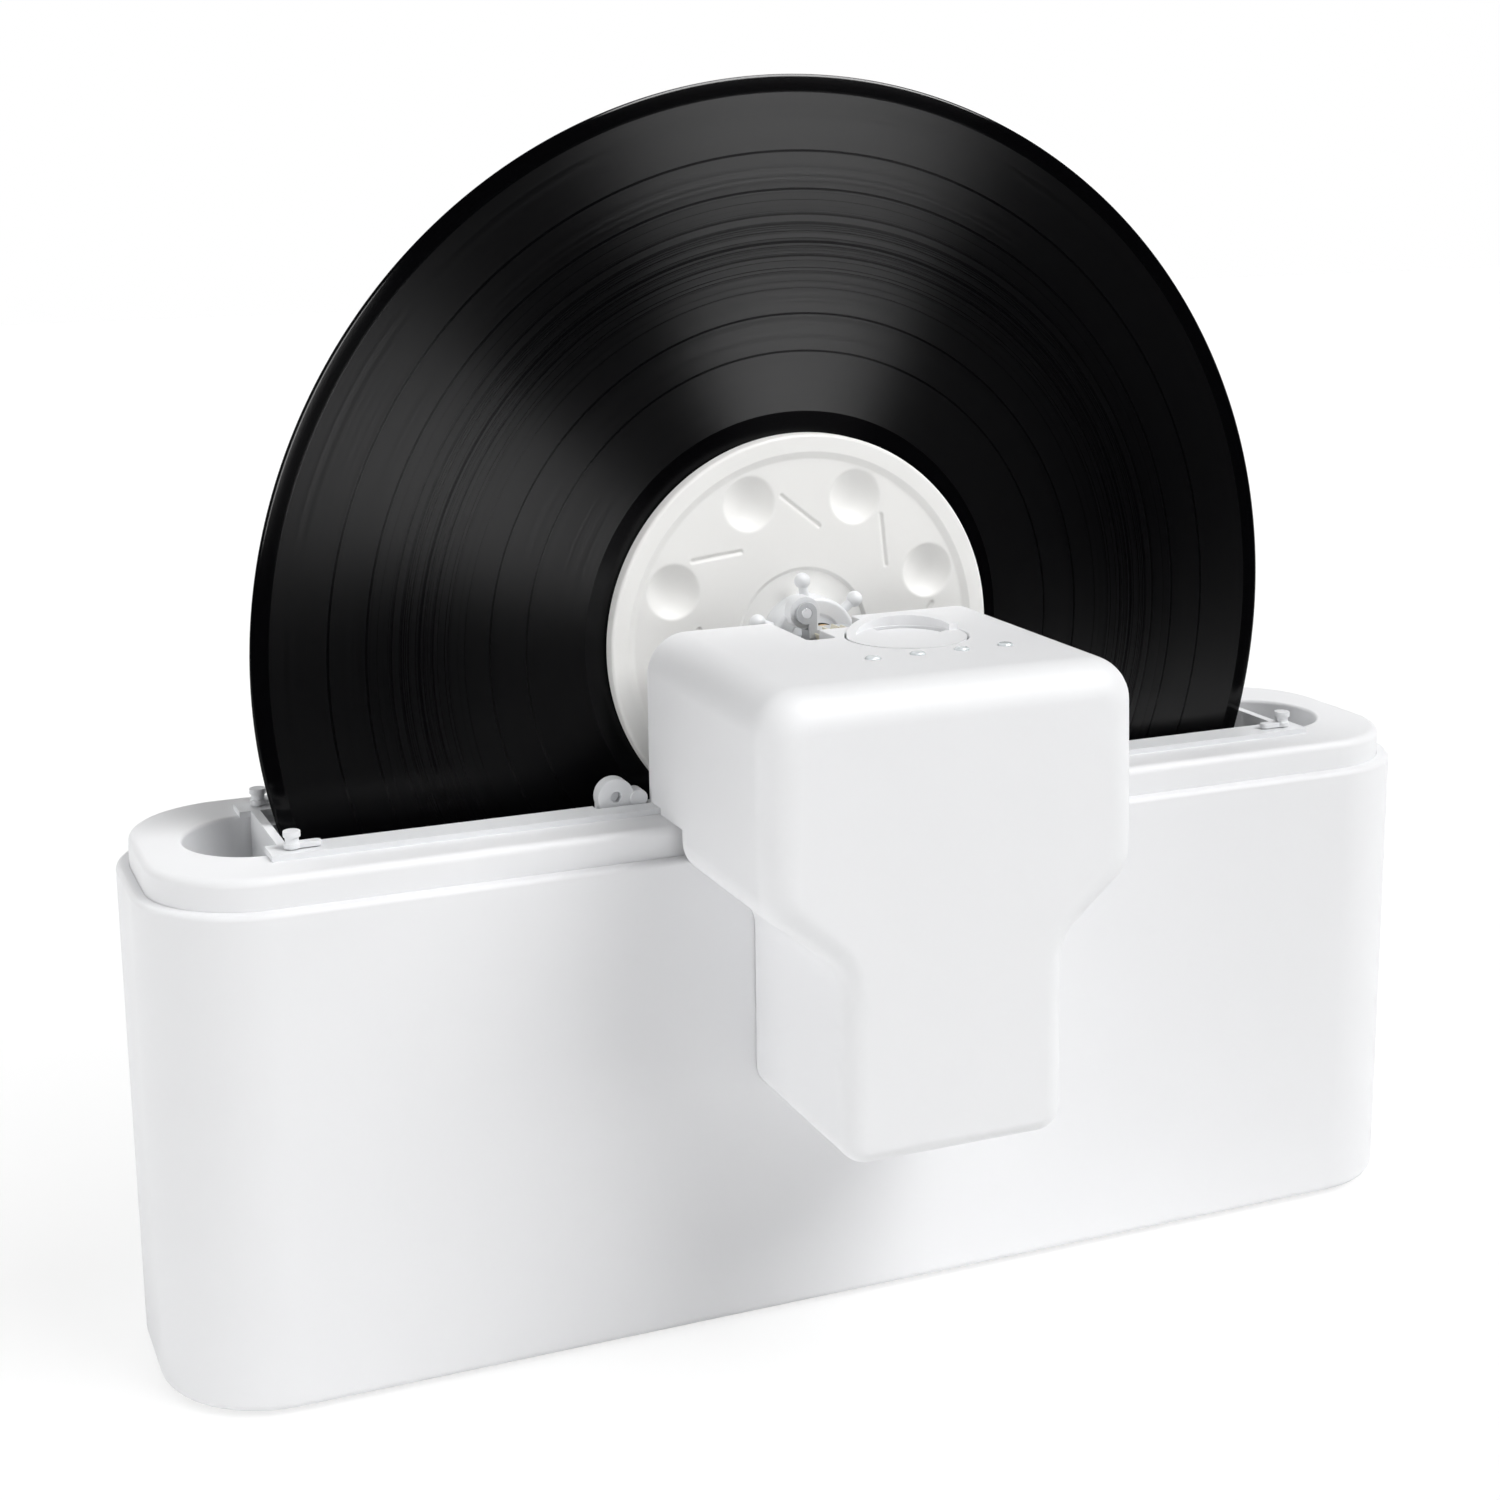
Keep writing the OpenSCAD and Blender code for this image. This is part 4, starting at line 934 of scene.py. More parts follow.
def make_lamps():
    """A row of four small clear lamps on stalks, by a node tree."""
    low, high = box_mm("status_lamps")
    stalk, top = low[2], high[2]
    first, pitch, y = lamp_row()
    profile = rounded([(0.0, stalk, 0), (LAMP_RADIUS, stalk, 0.2), (LAMP_RADIUS, top - 0.15, 0.55),
                       (LAMP_RADIUS - 0.9, top, 1.2), (0.0, top, 0)], 6)
    unit = smooth(turned("lamp_unit", profile, 40, (first, y, 0.0)))
    values = {"Unit": unit, "Count": LAMP_COUNT, "Pitch": pitch * MM}
    lamps = grown("status_lamp_row", row_tree("lamp_row", "lens"), values)
    discard(unit)
    return place(smooth(lamps), "head", "lamp_lens", "lens", "status_lamps")


def make_dial():
    """The control dial, with its crescent finger ridge and the groove under it."""
    return place(refined("dial", "control_dial", 0.45, 30.0), "dial", "white_shell", "shell", "dial")


# Spindle: label discs, record, star nut and shaft


# Distances from the record's middle in millimetres: a label disc's rim and back, the least height of the
# face that pockets are pressed in, and the seal's two sides.
RIM_FACE, BACK_FACE, LEAST_FACE = 6.0, 1.3, 4.9
SEAL_LOW, SEAL_HIGH = 0.62, 2.46
# The seal's groove in millimetres: its sides, measured in from the rim, its bottom and the seal's play.
GROOVE_INNER, GROOVE_OUTER, GROOVE_FACE, SEAL_PLAY = 6.0, 1.6, 2.5, 0.2
# Radii in millimetres between which pockets and swirl grooves are pressed, and each groove's radii at its
# two ends, its lean in degrees to either side and its depth.
PRESSED_FROM, PRESSED_TO = 30.0, 49.5
SWIRL_START, SWIRL_END, SWIRL_LEAN, SWIRL_DEPTH = 31.0, 40.0, 9.0, 0.5
# Radii in millimetres of the plain rings between the record's grooved bands.
PLAIN_RINGS = (78.0, 88.0, 107.0, 121.0, 131.0)


def shallow(value, low, high):
    """A smooth step from 0 at low to 1 at high."""
    t = np.clip((value - low) / (high - low), 0.0, 1.0)
    return t * t * (3.0 - 2.0 * t)


def pressed_face(radius, height, angles):
    """Height of a disc's face round one ring, with its finger pockets and swirl grooves pressed in."""
    disc = sizes()[2]
    if not PRESSED_FROM < radius < PRESSED_TO:
        return np.full(len(angles), height)
    x, z = radius * np.cos(angles), radius * np.sin(angles)
    deep, wide, pitch = disc.pocket_depth / MM, disc.pocket_radius / MM, disc.pocket_pitch / MM
    ball = (wide * wide + deep * deep) / (2 * deep)
    face = np.full(len(angles), height)
    for k in range(disc.pocket_count):
        turn = 2 * math.pi * (k + 0.5) / disc.pocket_count
        away = np.hypot(x - pitch * math.cos(turn), z - pitch * math.sin(turn))
        reach = np.minimum(away, ball * 0.98)
        bowl = height - deep + ball - np.sqrt(ball * ball - reach * reach)
        share_of = np.clip(0.5 + 0.5 * (bowl - face) / 0.3, 0.0, 1.0)
        face = bowl * (1 - share_of) + face * share_of - 0.3 * share_of * (1 - share_of)
        turn = 2 * math.pi * k / disc.pocket_count
        lean = math.radians(SWIRL_LEAN)
        ends = [np.array([far * math.cos(turn + side * lean), far * math.sin(turn + side * lean)])
                for far, side in ((SWIRL_START, -1), (SWIRL_END, 1))]
        run = ends[1] - ends[0]
        along = np.clip(((x - ends[0][0]) * run[0] + (z - ends[0][1]) * run[1]) / run.dot(run), 0.0, 1.0)
        aside = np.hypot(x - ends[0][0] - along * run[0], z - ends[0][1] - along * run[1])
        face = face - SWIRL_DEPTH * (1 - shallow(aside, 0.25, 0.7))
    return face


def label_disc(name, side, steps, pitch, hub):
    """A label disc: rim, shallow dish, finger pockets, recess for the nut or a hub, and a seal groove."""
    rim = sizes()[2].disc_radius / MM
    inner, outer = rim - GROOVE_INNER, rim - GROOVE_OUTER
    bore = 6.05 if hub else 4.05
    seat = bore + 0.01 if hub else 7.05
    corners = [(bore, 2.6, 0), (seat, 2.6, 0), (seat, BACK_FACE, 0), (inner, BACK_FACE, 0),
               (inner, GROOVE_FACE, 0), (outer, GROOVE_FACE, 0), (outer, BACK_FACE, 0), (rim, BACK_FACE, 0.5),
               (rim, RIM_FACE, 1.0), (rim - 4.8, RIM_FACE, 0.9), (rim - 6.8, 5.1, 1.6),
               (19.5, 5.4, 0.6), (18.5, 4.6, 0.25)]
    if hub:
        corners += [(14.0, 4.6, 0.3), (14.0, 16.0, 1.5), (0.0, 16.0, 0), (0.0, 14.3, 0), (bore, 14.3, 0)]
    else:
        corners += [(bore, 4.6, 0.2)]
    path = rounded(corners, 5, closed=True)
    rows = []
    for i, (radius, height) in enumerate(path):
        next_radius, next_height = path[(i + 1) % len(path)]
        rows.append((radius, height))
        pressed = height > LEAST_FACE and 19.0 < radius < inner and 19.0 < next_radius < inner
        parts = round(abs(radius - next_radius) / pitch) if pressed else 1
        rows += [(radius + (next_radius - radius) * k / parts, height + (next_height - height) * k / parts)
                 for k in range(1, parts)]
    angles = np.arange(steps) * 2 * math.pi / steps
    loops = []
    for radius, height in rows:
        on_face = height > LEAST_FACE and radius < inner
        face = pressed_face(radius, height, angles) if on_face else np.full(steps, height)
        loops.append([(radius * math.cos(a), side * h, AXIS_Z + radius * math.sin(a))
                      for a, h in zip(angles, face)])
    loops.append(loops[0])
    return smooth(skin(name, loops, capped=False), 50.0)


def make_label_discs():
    """Front and back label discs with their seals and the back disc's thread insert."""
    front = label_disc("front_label_disc_face", -1, 720, 0.36, False)
    back = label_disc("back_label_disc_face", 1, 480, 0.6, True)
    place(front, "spindle", "disc_plastic", "disc", "front_label_disc")
    place(back, "back_disc", "disc_plastic", "disc", "back_label_disc")
    rim = sizes()[2].disc_radius / MM
    inner, outer = rim - GROOVE_INNER + SEAL_PLAY, rim - GROOVE_OUTER - SEAL_PLAY
    for side, body, name in ((-1, "spindle", "front_label_seal"), (1, "back_seal", "back_label_seal")):
        ring = rounded([(radius, side * y, 0.35) for radius, y in (
            (inner, SEAL_LOW), (outer, SEAL_LOW), (outer, SEAL_HIGH), (inner, SEAL_HIGH))], 4, closed=True)
        seal = smooth(turned(name + "_ring", ring, 160, (0.0, 0.0, AXIS_Z), "Y", closed=True))
        place(seal, body, "rubber", "rubber", name)
    insert = refined("thread_insert", "thread_insert_ring", 0.15)
    place(insert, "back_disc", "bronze", "bronze", "thread_insert")


def make_record():
    """The record: bead, grooved bands with plain rings between them, run-out and label."""
    outer = sizes()[2].record_radius / MM
    face = [(3.65, 0.7, 0), (49.5, 0.7, 0), (49.7, 0.6, 0), (56.0, 0.6, 0), (61.5, 0.6, 0), (62.0, 0.6, 1)]
    for middle in PLAIN_RINGS:
        face += [(middle - 0.5, 0.6, 1), (middle - 0.2, 0.6, 0.35), (middle + 0.2, 0.6, 0.35),
                 (middle + 0.5, 0.6, 1)]
    face += [(outer - 5.0, 0.6, 1), (outer - 4.5, 0.6, 0.1), (outer - 4.0, 0.6, 0), (outer - 2.6, 0.75, 0),
             (outer - 0.8, 0.75, 0), (outer - 0.3, 0.5, 0), (outer, 0.2, 0)]
    section = [(r, -h, g) for r, h, g in face] + [(r, h, g) for r, h, g in reversed(face)]
    record = turned("record_disc", [(r, h) for r, h, g in section], 360, (0.0, 0.0, AXIS_Z), "Y",
                    closed=True)
    mesh = record.data
    radii = [r for r, h, g in face]
    shares = [g for r, h, g in face]
    middle = Vector((0.0, 0.0, AXIS_Z * MM))
    away = [(point.co - middle) for point in mesh.vertices]
    far = [math.hypot(step.x, step.z) / MM for step in away]
    grooved = mesh.attributes.new("grooved", "FLOAT", "POINT")
    grooved.data.foreach_set("value", [float(np.interp(r, radii, shares)) for r in far])
    rings = mesh.uv_layers.new(name="rings")
    for face_of in mesh.polygons:
        turns = [math.atan2(away[mesh.loops[i].vertex_index].z, away[mesh.loops[i].vertex_index].x)
                 / (2 * math.pi) % 1.0 for i in face_of.loop_indices]
        wraps = max(turns) - min(turns) > 0.5
        for i, turn in zip(face_of.loop_indices, turns):
            u = turn + 1.0 if wraps and turn < 0.5 else turn
            rings.data[i].uv = (far[mesh.loops[i].vertex_index] / 160.0, u)
    return place(smooth(record), "spindle", "vinyl", "vinyl", "record")


def make_star_nut():
    """The nut with its ring of ball-ended pegs, the ring made by a node tree."""
    disc = sizes()[2]
    low, high = box_mm("star_nut")
    front, seat = low[1], high[1]
    section = rounded([(4.05, seat, 0), (12.3, seat, 0.2), (12.3, front, 1.1), (8.0, front, 0.5),
                       (7.4, front + 0.6, 0.4), (4.9, front + 0.6, 0.3), (4.05, front + 1.4, 0)], 6,
                      closed=True)
    body = turned("nut_body", section, 120, (0.0, 0.0, AXIS_Z), "Y", closed=True)
    reach, ball, stalk = disc.peg_reach / MM, 2.2, 1.3
    neck = math.sqrt(ball * ball - stalk * stalk)
    path = [(0.0, 10.8), (stalk, 10.8), (stalk, reach - neck)]
    path += [(ball * math.cos(a), reach + ball * math.sin(a))
             for a in np.linspace(math.asin(-neck / ball), math.pi / 2, 14)[1:]]
    peg = smooth(turned("peg_unit", path, 28, (0.0, seat - 5.3, 0.0), "X"), 40.0)
    values = {"Unit": peg, "Count": disc.peg_count, "Turn": -math.radians(38.0)}
    pegs = grown("peg_ring_grown", ring_tree("peg_ring", "disc"), values)
    pegs.data.transform(Matrix.Translation((0.0, 0.0, AXIS_Z * MM)))
    discard(peg)
    nut = smooth(combine(body, [pegs], "UNION"), 40.0)
    nut.name = nut.data.name = "star_nut_cap"
    return place(nut, "spindle", "frame_plastic", "rails", "star_nut")


# Brush frame: pads and the parts that keep their CAD shape


# The pile's fibres: how many per square metre, and their length and radius in metres.
PILE = {"Density": 900000.0, "Length": 1.1 * MM, "Radius": 0.22 * MM}


def brush_pad(name, side, low, high):
    """A plush pad: a crowned base whose short pile a node tree grows towards the record."""
    half_l, mid_z, half_h = high[0], middle_of(low, high)[2], (high[2] - low[2]) / 2
    inner, outer = min(abs(low[1]), abs(high[1])), max(abs(low[1]), abs(high[1]))
    base = inner + 1.25
    path = [(1.2, outer), (0.3, outer - 0.3), (0.0, outer - 1.0), (0.25, (outer + base) / 2),
            (0.0, base + 1.6)]
    path += [(drawn, base + 1.1 * (1 - drawn / 9.0) ** 2) for drawn in (0.3, 0.9, 1.8, 3.0, 4.5, 6.5, 9.0)]
    rows = []
    for inset, y in path:
        loop = plan_loop(half_l - inset, half_h - inset, max(4.0 - inset * 0.3, 1.0), 0.0, 8)
        rows.append([(x, side * y, mid_z + z) for x, z, _ in loop])
    pad = skin(name + "_base", rows)
    pile = grown(name + "_pile", pile_tree(name + "_pile_tree", "pile"), {**PILE, "Side": -float(side)}, pad)
    return smooth(joined(name, [pad, pile]), 60.0)


def make_brush_pads():
    """Front and rear plush pads."""
    for name, side in (("front_brush_pad", -1), ("rear_brush_pad", 1)):
        pad = place(brush_pad(name + "_plush", side, *box_mm(name)), "brush_frame", "plush", "pile", name)


def keep_shape(*rows):
    """Refined copies of CAD nodes: (node, body, slot, finish, edge rounding)."""
    for node, body, slot, finish, width in rows:
        place(refined(node, node + "_finished", width), body, slot, finish, node)


def make_brush_frame():
    """The rail frame and the carriers that hang the pads from it."""
    keep_shape(("brush_frame", "brush_frame", "frame_plastic", "rails", 0.35),
               ("front_pad_carrier", "brush_frame", "frame_plastic", "rails", 0.3),
               ("rear_pad_carrier", "brush_frame", "frame_plastic", "rails", 0.3))


def make_head_latches():
    """The two latches that hold the head, with their brackets."""
    for side in ("left", "right"):
        keep_shape((side + "_latch_bracket", "brush_frame", "frame_plastic", "rails", 0.25),
                   (side + "_head_latch", side + "_head_latch", "frame_plastic", "rails", 0.35))


def make_corner_latches():
    """The four turn latches on the corners of the brush frame."""
    for corner in ("front_left", "front_right", "rear_left", "rear_right"):
        keep_shape((corner + "_corner_latch", corner + "_corner_latch", "frame_plastic", "rails", 0.25))


# Drive: cradle, motor, gears, board and screws


def screw_unit(name, shank, length, head, height):
    """A pan head screw along Y with a plain cross recess, its head standing on y = 0."""
    profile = rounded([(0.0, -length, 0), (shank * 0.6, -length, 0), (shank, -length + shank, 0),
                       (shank, 0.0, 0), (head, 0.0, 0.1), (head, height * 0.75, height * 0.45),
                       (head * 0.55, height, 0.4), (0.0, height, 0)], 5)
    unit = turned(name, profile, 32, axis="Y")
    wide, reach, deep = head * 0.13, head * 0.55, height * 0.45
    cross = [block("cross", (-wide, height - deep, -reach), (wide, height + 1, reach)),
             block("cross", (-reach, height - deep, -wide), (reach, height + 1, wide))]
    return smooth(combine(unit, cross), 30.0)


def screw_group(node, body, *kinds):
    """Screws of one CAD node: each kind is (shank, length, head, height, places of the head's underside)."""
    parts = []
    for shank, length, head, height, spots in kinds:
        unit = screw_unit("screw_unit", shank, length, head, height)
        start = mesh_object(node + "_spots", spots, [])
        parts.append(grown(node + "_grown", spots_tree(node + "_layout", "screw"), {"Unit": unit}, start))
        discard(unit, start)
    group = smooth(joined(node + "_finished", parts), 30.0)
    return place(group, body, "steel", "screw", node)


def make_screws():
    """Screws of the back cover, the cradle and the motor, laid out by node trees."""
    upper = [(side * x, HEAD_HIGH[1], z) for side in (-1, 1) for x, z in HEAD_SCREWS]
    lower = [(side * STEM_SCREW[0], STEM_BACK - 2.2, STEM_SCREW[1]) for side in (-1, 1)]
    screw_group("cover_screws", "head", (1.5, 14.0, 2.8, 1.8, upper), (1.5, 12.0, 2.8, 1.8, lower))
    for node, shank, length, head, height in (("cradle_screws", 1.1, 5.0, 2.0, 1.3),
                                              ("motor_screws", 1.5, 7.0, 2.8, 1.8)):
        low, high = box_mm(node)
        z = middle_of(low, high)[2]
        spots = [(x, high[1] - height, z) for x in (low[0] + head, high[0] - head)]
        screw_group(node, "head", (shank, length, head, height, spots))


def make_motor():
    """Motor with cooling slots round its end, gearbox, its plate and the shaft into the drive gear."""
    low, high = box_mm("motor")
    bar = block("slot_unit", (12.9, low[1] + 9.0, -1.1), (15.0, low[1] + 17.0, 1.1))
    values = {"Unit": bar, "Count": 10, "Turn": 0.0}
    slots = grown("motor_slots", ring_tree("motor_slot_ring", "case"), values)
    slots.data.transform(Matrix.Translation((0.0, 0.0, middle_of(low, high)[2] * MM)))
    discard(bar)
    can = combine(copy_of("motor", "motor_can"), [slots])
    place(soften(tidy_mesh(can), 0.3), "head", "motor_case", "case", "motor")
    keep_shape(("gearbox", "head", "motor_case", "case", 0.3),
               ("motor_plate", "head", "steel", "case", 0.25),
               ("motor_shaft", "drive_gear", "steel", "steel", 0.15),
               ("drive_gear", "drive_gear", "gear_plastic", "gear", 0.1))


def make_board():
    """Control board with rows of small parts on it, dial switch and power inlet."""
    low, high = box_mm("control_board")
    edge, top = low[1], high[2]
    chip = block("chip_unit", (-31.0, edge + 6.0, top - 0.1), (-25.0, edge + 10.0, top + 1.5))
    can = turned("can_unit", rounded([(0.0, top - 0.1, 0), (2.4, top - 0.1, 0), (2.4, top + 5.0, 0.5),
                                      (0.0, top + 5.0, 0)], 4), 28, (-28.0, edge + 20.0, 0.0))
    rows = [refined("control_board", "board_plate", 0.15)]
    for name, unit, pitch in (("chip", soften(chip, 0.2), 8.5), ("can", smooth(can), 6.8)):
        values = {"Unit": unit, "Count": 3, "Pitch": pitch * MM}
        rows.append(grown(name + "_row", row_tree(name + "_layout", "board"), values))
        discard(unit)
    whole = joined("control_board_finished", rows)
    place(smooth(whole), "head", "board", "board", "control_board")
    keep_shape(("dial_switch", "head", "dark_plastic", "dark", 0.3),
               ("power_inlet", "head", "dark_plastic", "dark", 0.3))


def make_bearing():
    """Cradle, bearing block, bush, cradle lever and its pin, and the head's dowels."""
    keep_shape(("spindle_cradle", "head", "inner_plastic", "inner", 0.3),
               ("head_dowels", "head", "steel", "steel", 0.2),
               ("bearing_block", "bearing", "inner_plastic", "inner", 0.3),
               ("spindle_bush", "bearing", "bronze", "bronze", 0.15),
               ("lever_pin", "bearing", "steel", "steel", 0.1),
               ("cradle_lever", "cradle_lever", "frame_plastic", "rails", 0.6))


def make_shaft():
    """Spindle shaft with its gear, clip and thrust washer."""
    keep_shape(("spindle_shaft", "spindle", "steel", "steel", 0.2),
               ("spindle_gear", "spindle", "gear_plastic", "gear", 0.1),
               ("retaining_clip", "spindle", "steel", "steel", 0.1),
               ("thrust_washer", "spindle", "dark_plastic", "dark", 0.1))


# Stage: floor, lamps, world and camera


WORLD_LIGHT = 0.20
FLOOR_GLOW = 0.77
# The photograph's camera: its lens and shift, its place in metres, and the ways of its three axes.
LENS, SHIFT = 55.9, (0.0175, -0.0851)
CAMERA_PLACE = (-0.2543, -0.5776, 0.3107)
CAMERA_RIGHT, CAMERA_UP = (0.9264, -0.3764, -0.0130), (0.0871, 0.1806, 0.9797)
CAMERA_FORWARD = (0.3664, 0.9087, -0.2001)


def soft_sun(name, towards, strength, width, card=False):
    """A far soft lamp that lights, or a card that only shows in gloss; the width is in degrees."""
    data = bpy.data.lights.new(name, "SUN")
    data.energy = strength
    data.angle = math.radians(width)
    lamp = linked(name, data)
    way = Vector(towards).normalized()
    lamp.rotation_euler = way.to_track_quat("Z", "Y").to_euler()
    lamp.location = way * 2.0
    lamp.visible_diffuse = not card
    lamp.visible_glossy = card


def studio_sheet(name, low, high, z):
    """A flat sheet between two corners (x, y), in millimetres."""
    points = [(low[0], low[1], z), (high[0], low[1], z), (high[0], high[1], z), (low[0], high[1], z)]
    return mesh_object(name, points, [(0, 1, 2, 3)])


def studio_world(scene):
    """Even light, with a white backdrop to the camera, through glass and behind the machine in gloss."""
    scene.world = bpy.data.worlds.new("studio_world")
    scene.world.use_nodes = True
    nodes = Nodes(scene.world.node_tree, "ShaderNode")
    nodes.tree.nodes.clear()
    path = nodes.node("LightPath").outputs
    split = nodes.node("SeparateXYZ", Vector=nodes.node("TexCoord").outputs["Generated"])
    behind = nodes.ramp(split.outputs["Y"], 0.02, 1.0, 0.0, 0.4)
    even, backdrop, white = (
        nodes.node("Background", Color=(1.0, 1.0, 1.0, 1.0), Strength=strength).outputs[0]
        for strength in (WORLD_LIGHT, behind, 1.0))
    lighting = nodes.either(path["Is Glossy Ray"], even, backdrop)
    seen = nodes.math("MAXIMUM", path["Is Camera Ray"], path["Is Transmission Ray"])
    nodes.node("OutputWorld", Surface=nodes.either(seen, lighting, white))


def studio_floor():
    """A plain pale floor that shows white to the camera and keeps the machine's shadow."""
    floor = studio_sheet("studio_floor", (-4000, -4000), (4000, 4000), -0.05)
    shade = Shade("studio_floor_paint")
    dust = shade.noise(3.0, 2.0, 0.5)
    shade.set(Base_Color=shade.blend(dust, (0.90, 0.90, 0.90), (0.92, 0.92, 0.92)), Roughness=0.9,
              Specular_IOR_Level=0.1)
    both = shade.node("AddShader")
    shade.plug(both.inputs[0], shade.node("BsdfDiffuse", Color=(0.25, 0.25, 0.25, 1.0)).outputs[0])
    shade.plug(both.inputs[1], shade.node("Emission", Strength=FLOOR_GLOW).outputs[0])
    to_camera = shade.node("LightPath").outputs["Is Camera Ray"]
    shade.give(shade.output, Surface=shade.either(to_camera, shade.surface.outputs[0], both.outputs[0]))
    floor.data.materials.append(shade.material)


def dark_card():
    """A dark card on the floor behind the camera, seen only in gloss, that keeps black pieces deep."""
    card = studio_sheet("studio_dark_card", (-6000, -6000), (6000, -420), 1)
    for way in ("camera", "diffuse", "transmission", "shadow"):
        setattr(card, "visible_" + way, False)
    shade = Shade("studio_dark_cloth")
    weave = shade.noise(60.0, 2.0, 0.5)
    card.data.materials.append(shade.set(
        Base_Color=shade.blend(weave, (0.008, 0.008, 0.008), (0.016, 0.016, 0.016)), Roughness=1.0,
        Specular_IOR_Level=0.0))


def studio_camera(scene):
    """The camera, set as the photograph's."""
    data = bpy.data.cameras.new("studio_camera")
    data.sensor_width = 36.0
    data.lens = LENS
    data.shift_x, data.shift_y = SHIFT
    camera = linked("studio_camera", data)
    turn = Matrix((CAMERA_RIGHT, CAMERA_UP, -Vector(CAMERA_FORWARD))).transposed().to_4x4()
    camera.matrix_world = Matrix.Translation(CAMERA_PLACE) @ turn
    scene.camera = camera


def make_stage():
    """White studio: floor, soft lamps, even world and the camera."""
    scene = bpy.context.scene
    scene.view_settings.view_transform = "Standard"
    studio_world(scene)
    studio_floor()
    dark_card()
    soft_sun("key_lamp", (0.46, -0.45, 0.77), 2.5, 40.0)
    soft_sun("rear_lamp", (-0.20, 0.80, 0.56), 0.95, 60.0)
    soft_sun("side_lamp", (-0.96, -0.12, 0.24), 1.1, 36.0)
    soft_sun("top_card", (0.39, -0.50, 0.77), 15.0, 44.0, card=True)
    soft_sun("left_card", (-0.24, -0.96, 0.10), 3.1, 24.0, card=True)
    studio_camera(scene)


# Operators, panel and registration


class WasherBuilder:
    """What every operator that builds pieces shares."""

    bl_options = {"REGISTER", "UNDO"}


class WasherBuildTank(WasherBuilder, bpy.types.Operator):
    """Build the base pad, the casing and the basin"""

    bl_idname = "washer.tank"
    bl_label = "Tank"

    def execute(self, context):
        make_base_pad()
        make_casing()
        make_basin()
        return {"FINISHED"}


class WasherBuildBrushFrame(WasherBuilder, bpy.types.Operator):
    """Build the rail frame and the pad carriers"""

    bl_idname = "washer.brush_frame"
    bl_label = "Brush frame"

    def execute(self, context):
        make_brush_frame()
        return {"FINISHED"}


class WasherBuildBrushPads(WasherBuilder, bpy.types.Operator):
    """Build the two plush pads"""

    bl_idname = "washer.brush_pads"
    bl_label = "Brush pads"

    def execute(self, context):
        make_brush_pads()
        return {"FINISHED"}


class WasherBuildHeadLatches(WasherBuilder, bpy.types.Operator):
    """Build the head's two latches and their brackets"""

    bl_idname = "washer.head_latches"
    bl_label = "Head latches"

    def execute(self, context):
        make_head_latches()
        return {"FINISHED"}


class WasherBuildCornerLatches(WasherBuilder, bpy.types.Operator):
    """Build the four corner latches"""

    bl_idname = "washer.corner_latches"
    bl_label = "Corner latches"

    def execute(self, context):
        make_corner_latches()
        return {"FINISHED"}


class WasherBuildHeadShell(WasherBuilder, bpy.types.Operator):
    """Build the drive head's shell and back cover"""

    bl_idname = "washer.head_shell"
    bl_label = "Head shell"

    def execute(self, context):
        make_head_shell()
        make_head_cover()
        return {"FINISHED"}


class WasherBuildControls(WasherBuilder, bpy.types.Operator):
    """Build the lamps and the dial"""

    bl_idname = "washer.controls"
    bl_label = "Controls"

    def execute(self, context):
        make_lamps()
        make_dial()
        return {"FINISHED"}


class WasherBuildMotor(WasherBuilder, bpy.types.Operator):
    """Build the motor, the gearbox and the drive gear"""

    bl_idname = "washer.motor"
    bl_label = "Motor"

    def execute(self, context):
        make_motor()
        return {"FINISHED"}


class WasherBuildBoard(WasherBuilder, bpy.types.Operator):
    """Build the control board, the dial switch and the inlet"""

    bl_idname = "washer.board"
    bl_label = "Control board"

    def execute(self, context):
        make_board()
        return {"FINISHED"}


class WasherBuildBearing(WasherBuilder, bpy.types.Operator):
    """Build the cradle, the bearing and the cradle lever"""

    bl_idname = "washer.bearing"
    bl_label = "Bearing"

    def execute(self, context):
        make_bearing()
        return {"FINISHED"}


class WasherBuildScrews(WasherBuilder, bpy.types.Operator):
    """Build the screws of the head"""

    bl_idname = "washer.screws"
    bl_label = "Screws"

    def execute(self, context):
        make_screws()
        return {"FINISHED"}


class WasherBuildShaft(WasherBuilder, bpy.types.Operator):
    """Build the spindle's shaft and gear"""

    bl_idname = "washer.shaft"
    bl_label = "Spindle shaft"

    def execute(self, context):
        make_shaft()
        return {"FINISHED"}


class WasherBuildLabelDiscs(WasherBuilder, bpy.types.Operator):
    """Build the label discs and their seals"""

    bl_idname = "washer.label_discs"
    bl_label = "Label discs"

    def execute(self, context):
        make_label_discs()
        return {"FINISHED"}


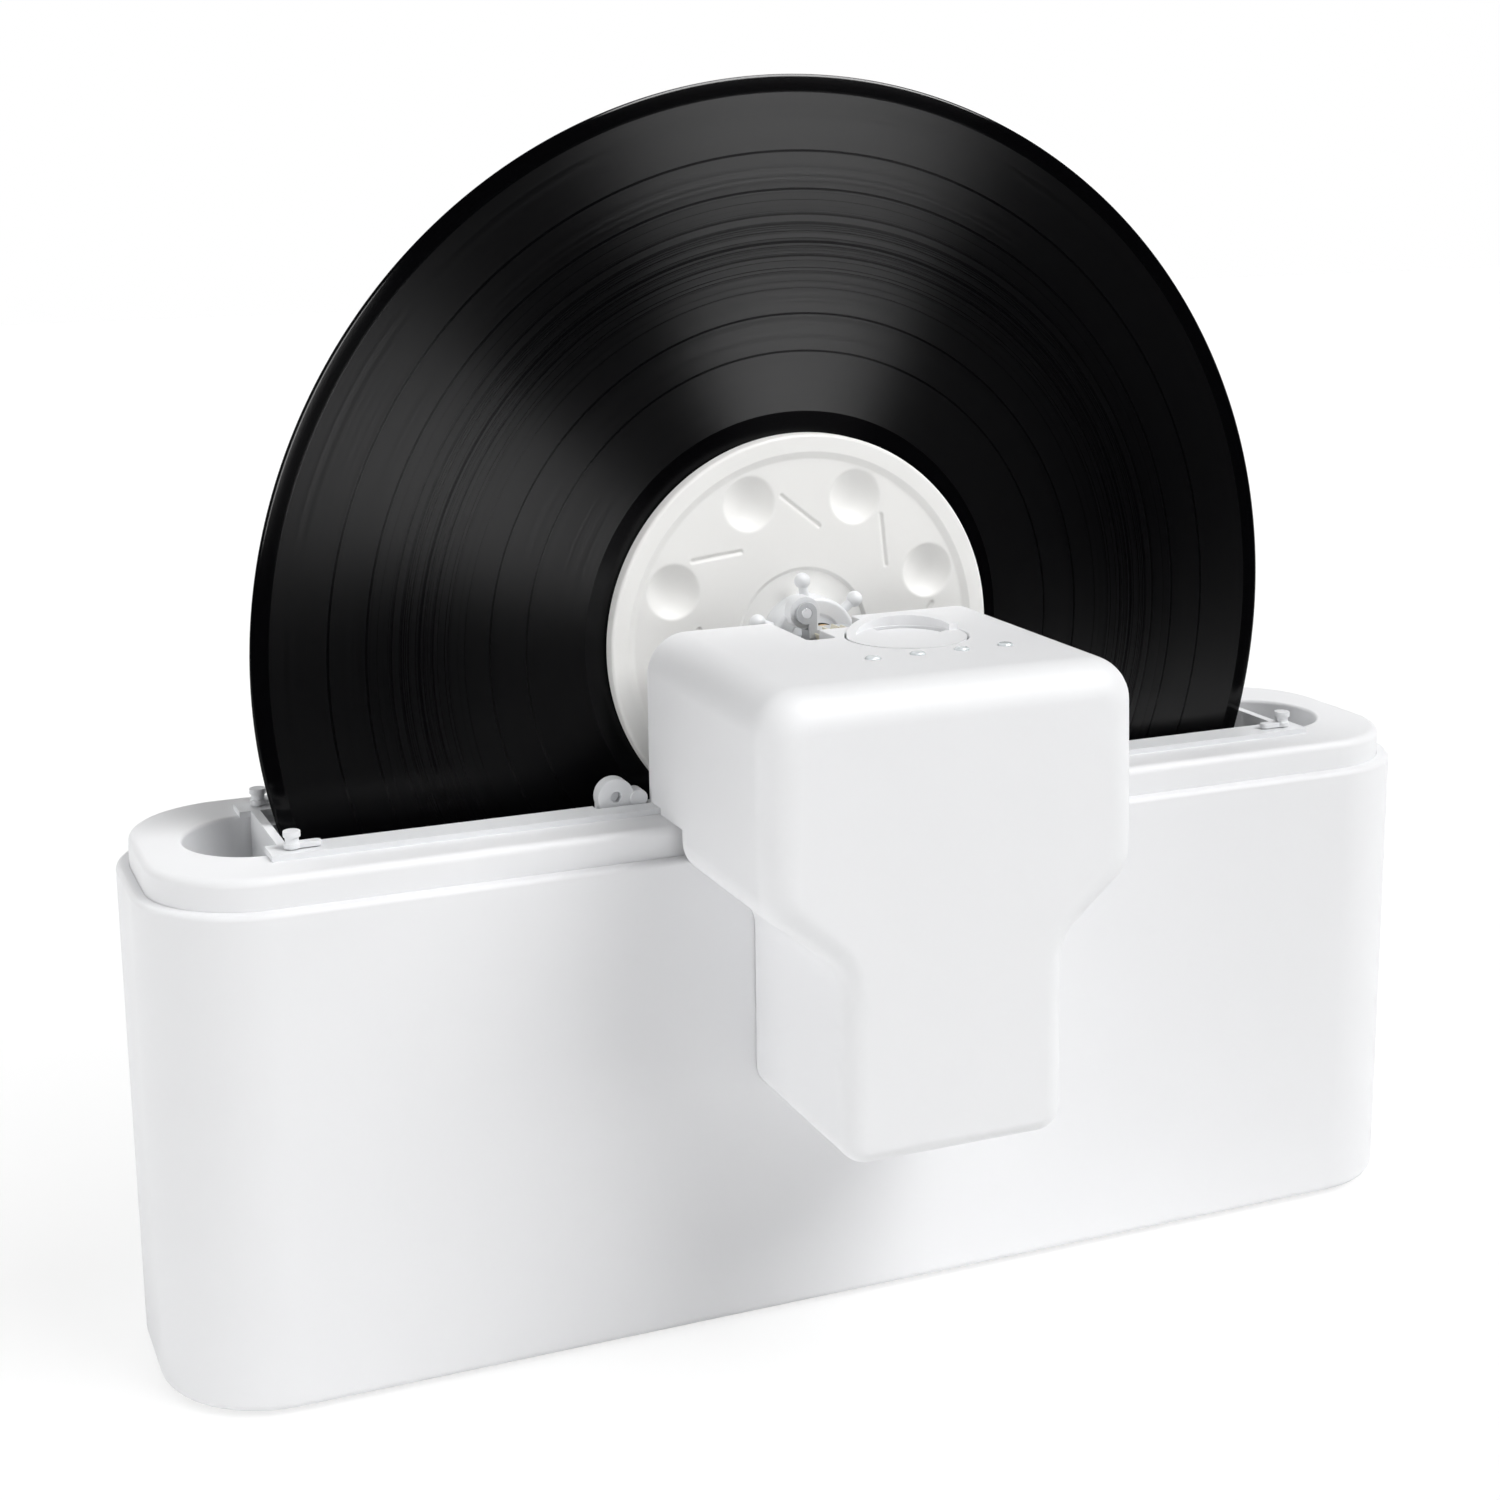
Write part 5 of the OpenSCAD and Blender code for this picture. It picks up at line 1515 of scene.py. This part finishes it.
class WasherBuildRecord(WasherBuilder, bpy.types.Operator):
    """Build the record"""

    bl_idname = "washer.record"
    bl_label = "Record"

    def execute(self, context):
        make_record()
        return {"FINISHED"}


class WasherBuildStarNut(WasherBuilder, bpy.types.Operator):
    """Build the nut with its ring of pegs"""

    bl_idname = "washer.star_nut"
    bl_label = "Star nut"

    def execute(self, context):
        make_star_nut()
        return {"FINISHED"}


class WasherBuildStage(WasherBuilder, bpy.types.Operator):
    """Build the floor, the lamps, the world and the camera"""

    bl_idname = "washer.stage"
    bl_label = "Stage"

    def execute(self, context):
        make_stage()
        return {"FINISHED"}


BUILDERS = (
    WasherBuildTank, WasherBuildBrushFrame, WasherBuildBrushPads, WasherBuildHeadLatches,
    WasherBuildCornerLatches, WasherBuildHeadShell, WasherBuildControls, WasherBuildMotor,
    WasherBuildBoard, WasherBuildBearing, WasherBuildScrews, WasherBuildShaft,
    WasherBuildLabelDiscs, WasherBuildRecord, WasherBuildStarNut, WasherBuildStage,
)


class WasherPanel(bpy.types.Panel):
    """Sidebar panel with the sizes, the finishes and a button for each group of pieces."""

    bl_idname = "VIEW3D_PT_record_washer"
    bl_label = "Record washer"
    bl_space_type = "VIEW_3D"
    bl_region_type = "UI"
    bl_category = "Record washer"

    def draw(self, context):
        for group in sizes():
            box = self.layout.box()
            for name in group.bl_rna.properties.keys():
                if name not in ("rna_type", "name"):
                    box.prop(group, name)
        for builder in BUILDERS:
            self.layout.operator(builder.bl_idname)


CLASSES = (*GROUPS.values(), *BUILDERS, WasherPanel)


def register():
    """Adds the classes and puts the sizes on the scene."""
    for kind in CLASSES:
        bpy.utils.register_class(kind)
    for holder, group in GROUPS.items():
        setattr(bpy.types.Scene, holder, bpy.props.PointerProperty(type=group))


def unregister():
    """Takes the sizes and the classes away again."""
    for holder in GROUPS:
        delattr(bpy.types.Scene, holder)
    for kind in reversed(CLASSES):
        bpy.utils.unregister_class(kind)


def main():
    """Registers the add-on and builds every piece in order."""
    register()
    for builder in BUILDERS:
        group, name = builder.bl_idname.split(".")
        getattr(getattr(bpy.ops, group), name)()


if __name__ == "__main__":
    main()
